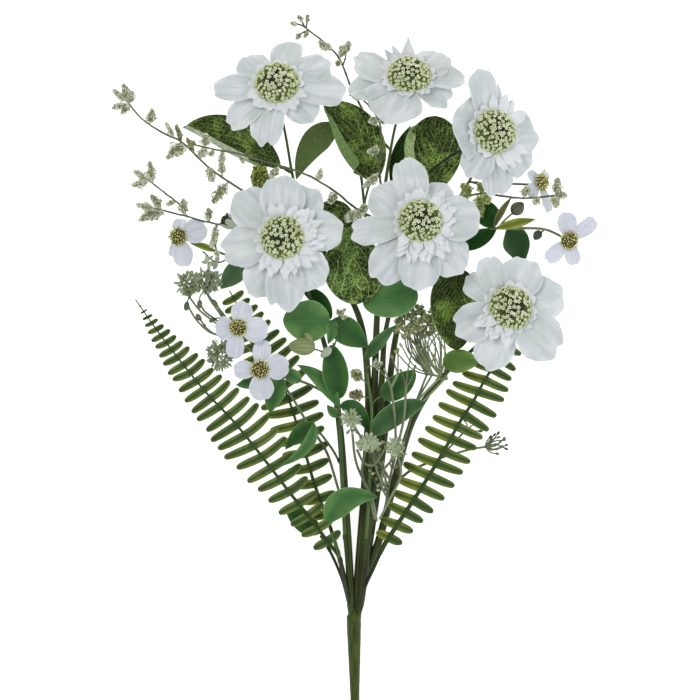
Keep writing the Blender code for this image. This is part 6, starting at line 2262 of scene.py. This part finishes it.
        rest = peg("left", 400, ((318, 389, 44), (300, 381, 49), (282, 377, 53)), 1.1)
        work = LeafWork(self.rng, SMOOTH)
        self.flower_stalk(work, rest[::5], "lower_left", 1.0)
        self.flower_stalk(work, places(((284, 378, 52.6), (266, 356, 53))), "left", 0.9)
        work.leaf(Leaf((301, 381, 49), (291, 375, 52), (281, 367, 52), 7, ovate, 0, 0.10))
        work.leaf(Leaf((283, 378, 52.5), (274, 395, 51), (270, 413, 49), 10, ovate, 0, 0.10))
        work.leaf(Leaf((266, 374, 55), (251, 382, 55), (236, 385, 53), 7, ovate, 0, 0.10))
        work.piece("leafy_twig_lower_left", Slot.SMOOTH)

        rest = peg("upper_right", 228, ((468, 231, 42), (495, 228, 46), (525, 228, 48)), 1.2)
        work = LeafWork(self.rng, DARK_LEAF)
        self.flower_stalk(work, np.vstack([rest[::5], place((545, 229, 50))]), "far_right", 1.1)
        for leaf in (
            Leaf((497, 228, 46.1), (473, 241, 45), (447, 247, 42), 9, narrow, 0, 0.10),
            Leaf((507, 229, 47), (518, 243, 28), (524, 264, 6), 14, ovate, 0, 0.10, True),
            Leaf((495, 227, 46.5), (487, 212, 47), (479, 197, 44), 12, ovate, 0, 0.10),
            Leaf((494, 227, 46.5), (502, 211, 51), (512, 197, 52), 3.5, narrow, 0, 0.14, finish=BROWN_LEAF),
            Leaf((496, 228, 46.5), (517, 223, 52), (536, 219, 53), 5, narrow, 0, 0.14, finish=OLIVE_LEAF),
        ):
            work.leaf(leaf)
        work.stalk(places(((498, 228, 46.5), (507, 218, 50), (517, 210, 53))), 0.7)
        work.bud((513, 213, 51.5), (523, 203, 55), 4.8, 9, DARK_BUD)
        work.stalk(places(((545, 229, 49.4), (542, 232, 48), (538, 235, 47))), 0.7)
        work.bud((541, 231, 48), (535, 239, 46), 3.2, 7, DARK_BUD)
        work.piece("leafy_twig_far_right", Slot.SMOOTH)

        rest = peg("upper_right", 181, ((492, 184, 42), (516, 183, 40)), 0.9)
        work = LeafWork(self.rng, SMOOTH)
        self.flower_stalk(work, rest[::4], "behind_right", 0.9)
        work.piece("flower_stalk_behind_right", Slot.SMOOTH)

    def spray(self, name: str, stem: str, row: float, route: tuple[Spot, ...], clusters: tuple[Cluster, ...],
              stalks: tuple[tuple[Spot, ...], ...] = (), length: float = 7.0) -> None:
        """Makes a spray on a peg.

        Args:
            name: Its node.
            stem: The stem that it is on.
            row: Where it leaves the stem.
            route: Where its own stem goes.
            clusters: Its lobes.
            stalks: Its side stalks.
            length: How long its peg is, in millimetres.
        """
        rest = self.stems.add_peg(stem, row, route, 0.85, length)
        Spray(name, rest, clusters, self.rng, stalks).build()

    def make_sprays(self) -> None:
        """The six sprays."""
        self.spray(
            "spray_upper_left", "upper_left", 238,
            ((282, 213, 46), (237, 187, 52), (207, 166, 54), (182, 142, 55), (165, 134, 55), (142, 119, 54),
             (126, 100, 53)),
            (Cluster((127, 102, 53), ((123, 84, 55), (132, 91, 55)), 2.7),
             Cluster((127, 102, 53), ((113, 90, 52), (112, 108, 52), (121, 113, 53)), 2.1),
             Cluster((149, 124, 54), ((152, 109, 56),), 3.0),
             Cluster((174, 138, 55), ((166, 123, 56),), 1.8),
             Cluster((181, 142, 55), ((176, 125, 57),), 1.8, finish=BROWN_FLOCK),
             Cluster((181, 142, 55), ((167, 158, 54), (177, 156, 57)), 3.4),
             Cluster((194, 154, 54.6), ((187, 138, 57),), 1.6, finish=BROWN_FLOCK),
             Cluster((207, 166, 54), ((213, 181, 53),), 3.0),
             Cluster((222, 177, 53), ((222, 151, 56),), 2.5),
             Cluster((228, 181, 52.5), ((213, 202, 52),), 3.9)))
        self.spray(
            "spray_arching", "top", 222,
            ((370, 216, 57), (354, 207, 63), (337, 193, 65), (320, 182, 63), (303, 173, 61), (284, 167, 59),
             (266, 162, 58), (240, 154, 58), (213, 149, 60), (195, 145, 61)),
            (Cluster((356, 208, 62.6), ((347, 222, 66), (357, 223, 66), (367, 207, 67)), 2.9),
             Cluster((337, 193, 65), ((329, 203, 67),), 2.8),
             Cluster((319, 181, 62.8), ((321, 169, 64),), 2.0),
             Cluster((279, 166, 58.8), ((269, 180, 58),), 2.3),
             Cluster((262, 161, 58), ((257, 189, 58),), 5.6, BudKind.CONE, CONE),
             Cluster((240, 154, 58), ((243, 163, 58),), 1.5),
             Cluster((214, 149, 60), ((210, 156, 59),), 1.6),
             Cluster((205, 147, 60.4), ((206, 134, 62), (200, 157, 59)), 3.2),
             Cluster((197, 145, 60.8), ((187, 141, 62),), 1.9, finish=BROWN_FLOCK)))
        self.spray(
            "spray_left", "upper_left", 252,
            ((290, 240, 43), (234, 227, 50), (208, 222, 51), (186, 216, 53), (170, 212, 54), (154, 208, 54)),
            (Cluster((155, 208, 54), ((136, 205, 53), (139, 220, 54), (150, 220, 54), (151, 195, 56)), 2.6),
             Cluster((162, 210, 54), ((159, 216, 54),), 1.6),
             Cluster((184, 215.5, 53), ((183, 199, 55),), 2.8),
             Cluster((209, 222, 51), ((208, 208, 53),), 2.5),
             Cluster((216, 223.5, 50.8), ((212, 247, 50),), 2.4),
             Cluster((216, 249, 49.5), ((217, 257, 49),), 1.8),
             Cluster((242, 229, 49.4), ((244, 219, 52),), 2.4),
             Cluster((149, 181, 54), ((132, 185, 54), (134, 171, 55), (149, 162, 55)), 2.7),
             Cluster((176, 201, 53.4), ((166, 204, 54),), 1.7),
             Cluster((238, 228, 50), ((221, 217, 55),), 5.2, BudKind.HALF_OPEN, DARK_BUD)),
            (((187, 217, 53), (180, 205, 53.6), (165, 193, 54), (147, 179, 54)),
             ((217, 224, 50.6), (214, 238, 50), (216, 250, 49.4))))
        self.spray(
            "spray_top", "top", 150,
            ((374, 128, 30), (361, 105, 31), (352, 88, 35), (346, 73, 41), (339, 57, 45), (326, 43, 47),
             (306, 27, 46)),
            (Cluster((298, 23.5, 46), ((290, 22, 46),), 1.7),
             Cluster((302, 21, 46), ((298, 14, 46),), 1.5),
             Cluster((307, 21, 46), ((308, 14, 46),), 1.4),
             Cluster((301, 32, 46), ((296, 38, 46),), 1.8),
             Cluster((308, 29, 46), ((304, 37, 46),), 1.5),
             Cluster((333, 50, 46), ((319, 41, 48),), 2.5),
             Cluster((346, 53, 45), ((349, 40, 47), (341, 45, 47)), 2.3),
             Cluster((340, 58, 44.8), ((345, 45, 47), (336, 64, 46)), 2.2)),
            (((306, 27, 46), (302, 24.5, 46), (297, 23, 46)), ((305, 26.5, 46), (303, 23, 46), (302, 20, 46)),
             ((306, 27, 46), (307, 20, 46)), ((308, 29, 46), (304, 31, 46), (300, 33, 46)),
             ((343, 64, 43), (345, 58, 44), (346, 53, 45))),
            length=6)
        self.spray(
            "spray_centre", "top", 196,
            ((381, 184, 48), (379, 165, 53), (381, 145, 54), (380, 124, 54), (372, 109, 54), (361, 97, 54)),
            (Cluster((380, 121, 54), ((369, 121, 57), (388, 115, 56)), 2.7),
             Cluster((362, 98, 54), ((350, 94, 56), (366, 92, 57)), 2.1),
             Cluster((380, 150, 54), ((368, 151, 57),), 2.7),
             Cluster((380, 172, 51.6), ((364, 187, 55),), 2.7)),
            length=8)
        self.spray(
            "spray_right", "upper_right", 205,
            ((466, 197, 52), (484, 193, 55), (503, 196, 54), (522, 198, 54), (540, 197, 55), (556, 195, 56)),
            (Cluster((556, 195, 56), ((558, 178, 57), (567, 195, 58), (558, 207, 56)), 3.0),
             Cluster((540, 197, 55), ((534, 204, 57),), 2.2),
             Cluster((524, 198, 54), ((527, 186, 57),), 2.7),
             Cluster((472, 195, 53.4), ((462, 184, 56), (460, 199, 57)), 3.1, finish=LIME_FLOCK),
             Cluster((482, 193.4, 54.8), ((480, 183, 58), (490, 202, 57), (481, 217, 56)), 3.1,
                     finish=LIME_FLOCK)))

    def fan(self, foot: Spot, middle: Spot, wide: float, deep: float, count: int, radius: float,
            starry: bool = True, finish: Finish = UMBEL_BUD) -> RayGroup:
        """Rays from one foot to buds spread over an oval.

        Args:
            foot: Where they start.
            middle: The middle of the oval.
            wide: Its half-width in columns.
            deep: Its half-height in rows.
            count: How many there are.
            radius: The radius of their buds, in millimetres.
            starry: Whether each ends in a star of buds.
            finish: What the buds are made of.

        Returns:
            The rays.
        """
        turn = np.arange(count) * GOLDEN_TURN
        share = np.sqrt((np.arange(count) + 0.5) / count)
        columns, rows = middle[0] + wide * share * np.cos(turn), middle[1] + deep * share * np.sin(turn)
        heights = middle[2] + self.rng.uniform(-2.5, 2.5, count)
        ends = tuple(zip(columns.tolist(), rows.tolist(), heights.tolist()))
        return RayGroup(foot, ends, radius, starry, finish)

    def make_umbels(self) -> None:
        """The four umbels."""
        peg = self.stems.add_peg
        rest = peg("left", 520, ((334, 476, 22), (325, 450, 25), (305, 420, 29), (288, 392, 33),
                                 (262, 360, 42), (240, 343, 46), (228, 332, 47)), 0.9, 18)
        Umbel("umbel_left", rest, (
            RayGroup((189, 297, 45), ((182, 281, 46), (190, 273, 47), (196, 284, 48)), 1.4),
            RayGroup((189, 297, 45), ((186, 306, 44),), 2.8, False, DARK_UMBEL_BUD),
            RayGroup((205, 290, 44), ((200, 276, 46), (210, 273, 46), (219, 284, 45)), 1.4),
            RayGroup((205, 290, 44), ((199, 304, 42), (214, 303, 43)), 2.6, False, DARK_UMBEL_BUD),
            RayGroup((222, 319, 46), ((220, 312, 47), (212, 320, 46)), 2.2, False, DARK_UMBEL_BUD),
            RayGroup((204, 325, 44), ((198, 317, 43),), 2.4, False, DARK_UMBEL_BUD),
            RayGroup((236, 340, 46), ((219, 348, 46), (224, 363, 46), (212, 361, 44)), 1.4),
            self.fan((205, 290, 44), (205, 281, 46), 15, 9, 12, 1.2),
            self.fan((189, 297, 45), (187, 285, 46), 10, 10, 9, 1.2),
            self.fan((228, 343, 46), (219, 356, 45), 10, 11, 9, 1.2),
        ), self.rng, (((228, 332, 47), (214, 322, 47), (199, 310, 46), (189, 297, 45)),
                      ((229, 332, 47), (221, 316, 46), (210, 300, 45), (205, 290, 44)),
                      ((229, 333, 47), (217, 335, 46), (206, 328, 44), (199, 318, 43)),
                      ((229, 334, 46), (211, 333, 45), (196, 320, 44), (186, 303, 44)),
                      ((229, 330, 46), (216, 320, 45), (204, 311, 44), (199, 302, 43)),
                      ((229, 329, 46), (225, 317, 45), (219, 309, 44), (214, 301, 43)),
                      ((205, 290, 44), (207, 277, 45), (208, 262, 44))),
            tufts=(Tuft((187, 284, 45), 11, 11, 64), Tuft((206, 281, 44), 15, 10, 88),
                   Tuft((219, 355, 44), 12, 15, 88), Tuft((208, 262, 44), 2, 6, 6))).build()
        rest = peg("lower_right", 474, ((406, 436, 31), (416, 404, 37), (427, 375, 41)), 0.9, 13)
        Umbel("umbel_right", rest, (
            RayGroup((427, 375, 41), ((399, 322, 44), (408, 311, 45), (419, 308, 46), (427, 321, 47),
                                      (437, 312, 46), (445, 325, 45), (406, 336, 48), (416, 328, 49)), 2.6),
            RayGroup((441, 377, 42), ((396, 352, 44), (401, 345, 45), (426, 346, 46), (436, 349, 45)), 1.4,
                     False),
            RayGroup((437, 380, 41), ((441, 370, 43), (446, 378, 42)), 1.4),
            self.fan((441, 377, 42), (428, 325, 45), 16, 15, 11, 2.9),
            self.fan((433, 374, 42), (410, 326, 46), 14, 14, 11, 2.9),
        ), self.rng, (((416, 404, 37), (423, 391, 40), (433, 374, 42)),
                      ((414, 406, 37), (428, 390, 40), (441, 377, 42)),
                      ((417, 408, 36), (432, 393, 39), (446, 378, 41)))).build()
        rest = peg("lower_right", 522, ((388, 492, 31), (392, 470, 43), (396, 450, 51)), 0.9, 12)
        Umbel("umbel_centre", rest, (
            RayGroup((391, 387, 55), ((385, 370, 56), (377, 366, 55)), 1.3, False),
            RayGroup((398, 374, 56), ((398, 350, 57), (392, 357, 57)), 1.5, False),
            RayGroup((406, 388, 55), ((401, 371, 57), (415, 367, 57), (412, 352, 57)), 1.4, False),
            RayGroup((384, 470, 44), ((373, 474, 46), (378, 486, 44), (372, 457, 47), (386, 482, 43)), 1.4,
                     False),
            self.fan((379, 462, 49), (374, 446, 55), 14, 8, 10, 1.2),
            self.fan((392, 470, 43), (396, 452, 52), 9, 8, 9, 1.1),
            self.fan((388, 492, 31), (382, 474, 40), 15, 18, 7, 1.5, False),
        ), self.rng, (((390, 480, 38), (379, 462, 49), (369, 445, 55)),
                      ((372, 450, 54), (361, 437, 57), (351, 421, 59)),
                      ((396, 450, 51), (395, 418, 54), (391, 387, 55)),
                      ((391, 388, 55), (398, 374, 56)),
                      ((397, 450, 51), (404, 418, 54), (406, 388, 55)),
                      ((352, 430, 56), (356, 462, 50), (368, 492, 40), (375, 520, 32)),
                      ((366, 448, 55), (362, 474, 49), (372, 498, 38), (377, 522, 31)),
                      ((372, 448, 54), (378, 474, 48), (388, 490, 36)),
                      ((398, 455, 50), (401, 476, 44), (390, 500, 34), (380, 520, 30)),
                      ((384, 450, 53), (374, 465, 50), (364, 463, 49), (357, 450, 50)),
                      ((393, 460, 49), (384, 470, 47), (381, 484, 42), (386, 496, 33))),
            (((351, 419, 60), 8.4, 0.95), ((368, 443, 57), 10.5, 0.75), ((395, 447, 52.5), 7.5, 1.0)),
            (Tuft((377, 365, 55), 4, 3, 7, 3.5), Tuft((352, 430, 57), 4, 3, 7, 3.5),
             Tuft((395, 447, 51), 8, 8, 14, 3.5)),
            0.95).build()
        rest = peg("lower_right", 492, ((408, 474, 13), (440, 460, 9), (470, 451, 8), (487, 448, 8)), 0.9, 9)
        Umbel("umbel_far_right", rest, (
            RayGroup((487, 448, 8), ((492, 438, 9), (500, 434, 10), (506, 441, 9), (508, 450, 8),
                                     (499, 455, 7)), 1.3, False, DARK_UMBEL_BUD),
            self.fan((487, 448, 8), (500, 443, 9), 9, 9, 9, 1.2, False, DARK_UMBEL_BUD),
            RayGroup((468, 430, 11), ((466, 421, 12), (476, 424, 12), (482, 432, 11)), 1.4, False,
                     DARK_UMBEL_BUD),
        ), self.rng, (((440, 460, 9), (456, 443, 10), (468, 430, 11)),)).build()


@dataclass(frozen=True)
class Studio:
    """The camera at the picture's place, the paper floor and the soft lights."""

    aim: tuple[float, float] = (-3.0 * MM, 217.5 * MM)
    height: float = 4.46
    lens: float = 301.7
    floor_half: float = 9.0
    key: float = 25.0
    fill: float = 22.0
    sky: float = 0.36

    def set_camera(self) -> None:
        """A long lens that looks straight down on the bunch."""
        data = bpy.data.cameras.new("picture_camera")
        data.lens, data.sensor_width = self.lens, 36.0
        data.clip_start, data.clip_end = 0.1, 50.0
        camera = bpy.data.objects.new("picture_camera", data)
        camera.location = (*self.aim, self.height)
        bpy.context.scene.collection.objects.link(camera)
        bpy.context.scene.camera = camera

    def softbox(self, name: str, where: tuple[float, float, float], side: float, power: float,
                tint: Colour) -> None:
        """Adds a square softbox that points at the bunch.

        Args:
            name: Its name.
            where: Where it hangs.
            side: The length of its side.
            power: Its power in watts.
            tint: Its colour.
        """
        data = bpy.data.lights.new(name, "AREA")
        data.size, data.energy, data.color = side, power, tint
        light = bpy.data.objects.new(name, data)
        light.location = where
        aim = Vector((*self.aim, 0.05)) - Vector(where)
        light.rotation_euler = aim.to_track_quat("-Z", "Y").to_euler()
        light.visible_camera = False
        bpy.context.scene.collection.objects.link(light)

    def build(self) -> None:
        """The floor, the sky and the softboxes."""
        mesh, half = bpy.data.meshes.new("paper_floor"), self.floor_half
        corners = [(-half, -half, 0), (half, -half, 0), (half, half, 0), (-half, half, 0)]
        mesh.from_pydata(corners, [], [(0, 1, 2, 3)])
        mesh.materials.append(PAPER.material())
        floor = bpy.data.objects.new("paper_floor", mesh)
        floor.location = (0, 0, -0.2 * MM)
        bpy.context.scene.collection.objects.link(floor)
        world = bpy.data.worlds.new("studio_sky")
        world.use_nodes = True
        sky = world.node_tree.nodes["Background"]
        sky.inputs["Color"].default_value = (0.95, 0.97, 1.0, 1.0)
        sky.inputs["Strength"].default_value = self.sky
        bpy.context.scene.world = world
        bpy.context.scene.view_settings.view_transform = "Standard"
        self.softbox("key_box", (-0.85, 1.05, 2.5), 1.1, self.key, (1.0, 0.99, 0.97))
        self.softbox("fill_box", (1.8, -0.6, 1.9), 1.6, self.fill, (0.93, 0.96, 1.0))


def main() -> None:
    """Builds the pieces in order."""
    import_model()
    Studio().set_camera()
    rng = np.random.default_rng(SEED)
    stems = TapedStems(rng)
    stems.add_handle()
    for bloom in BLOOMS:
        stems.add_bloom_stem(bloom)
        head = ScabiosaHead(bloom, rng)
        head.build_petals()
        head.build_centre()
    for bloom in SMALL_FLOWERS:
        flower = SmallFlower(bloom, rng)
        flower.build_petals()
        flower.build_eye()
    foliage = Foliage(stems, rng)
    foliage.make_ferns()
    foliage.make_veined_leaves()
    foliage.make_smooth_leaves()
    foliage.make_flower_twigs()
    foliage.make_sprays()
    foliage.make_umbels()
    stems.build()
    Studio().build()


if __name__ == "__main__":
    logging.basicConfig(level=logging.INFO, format="%(message)s")
    main()
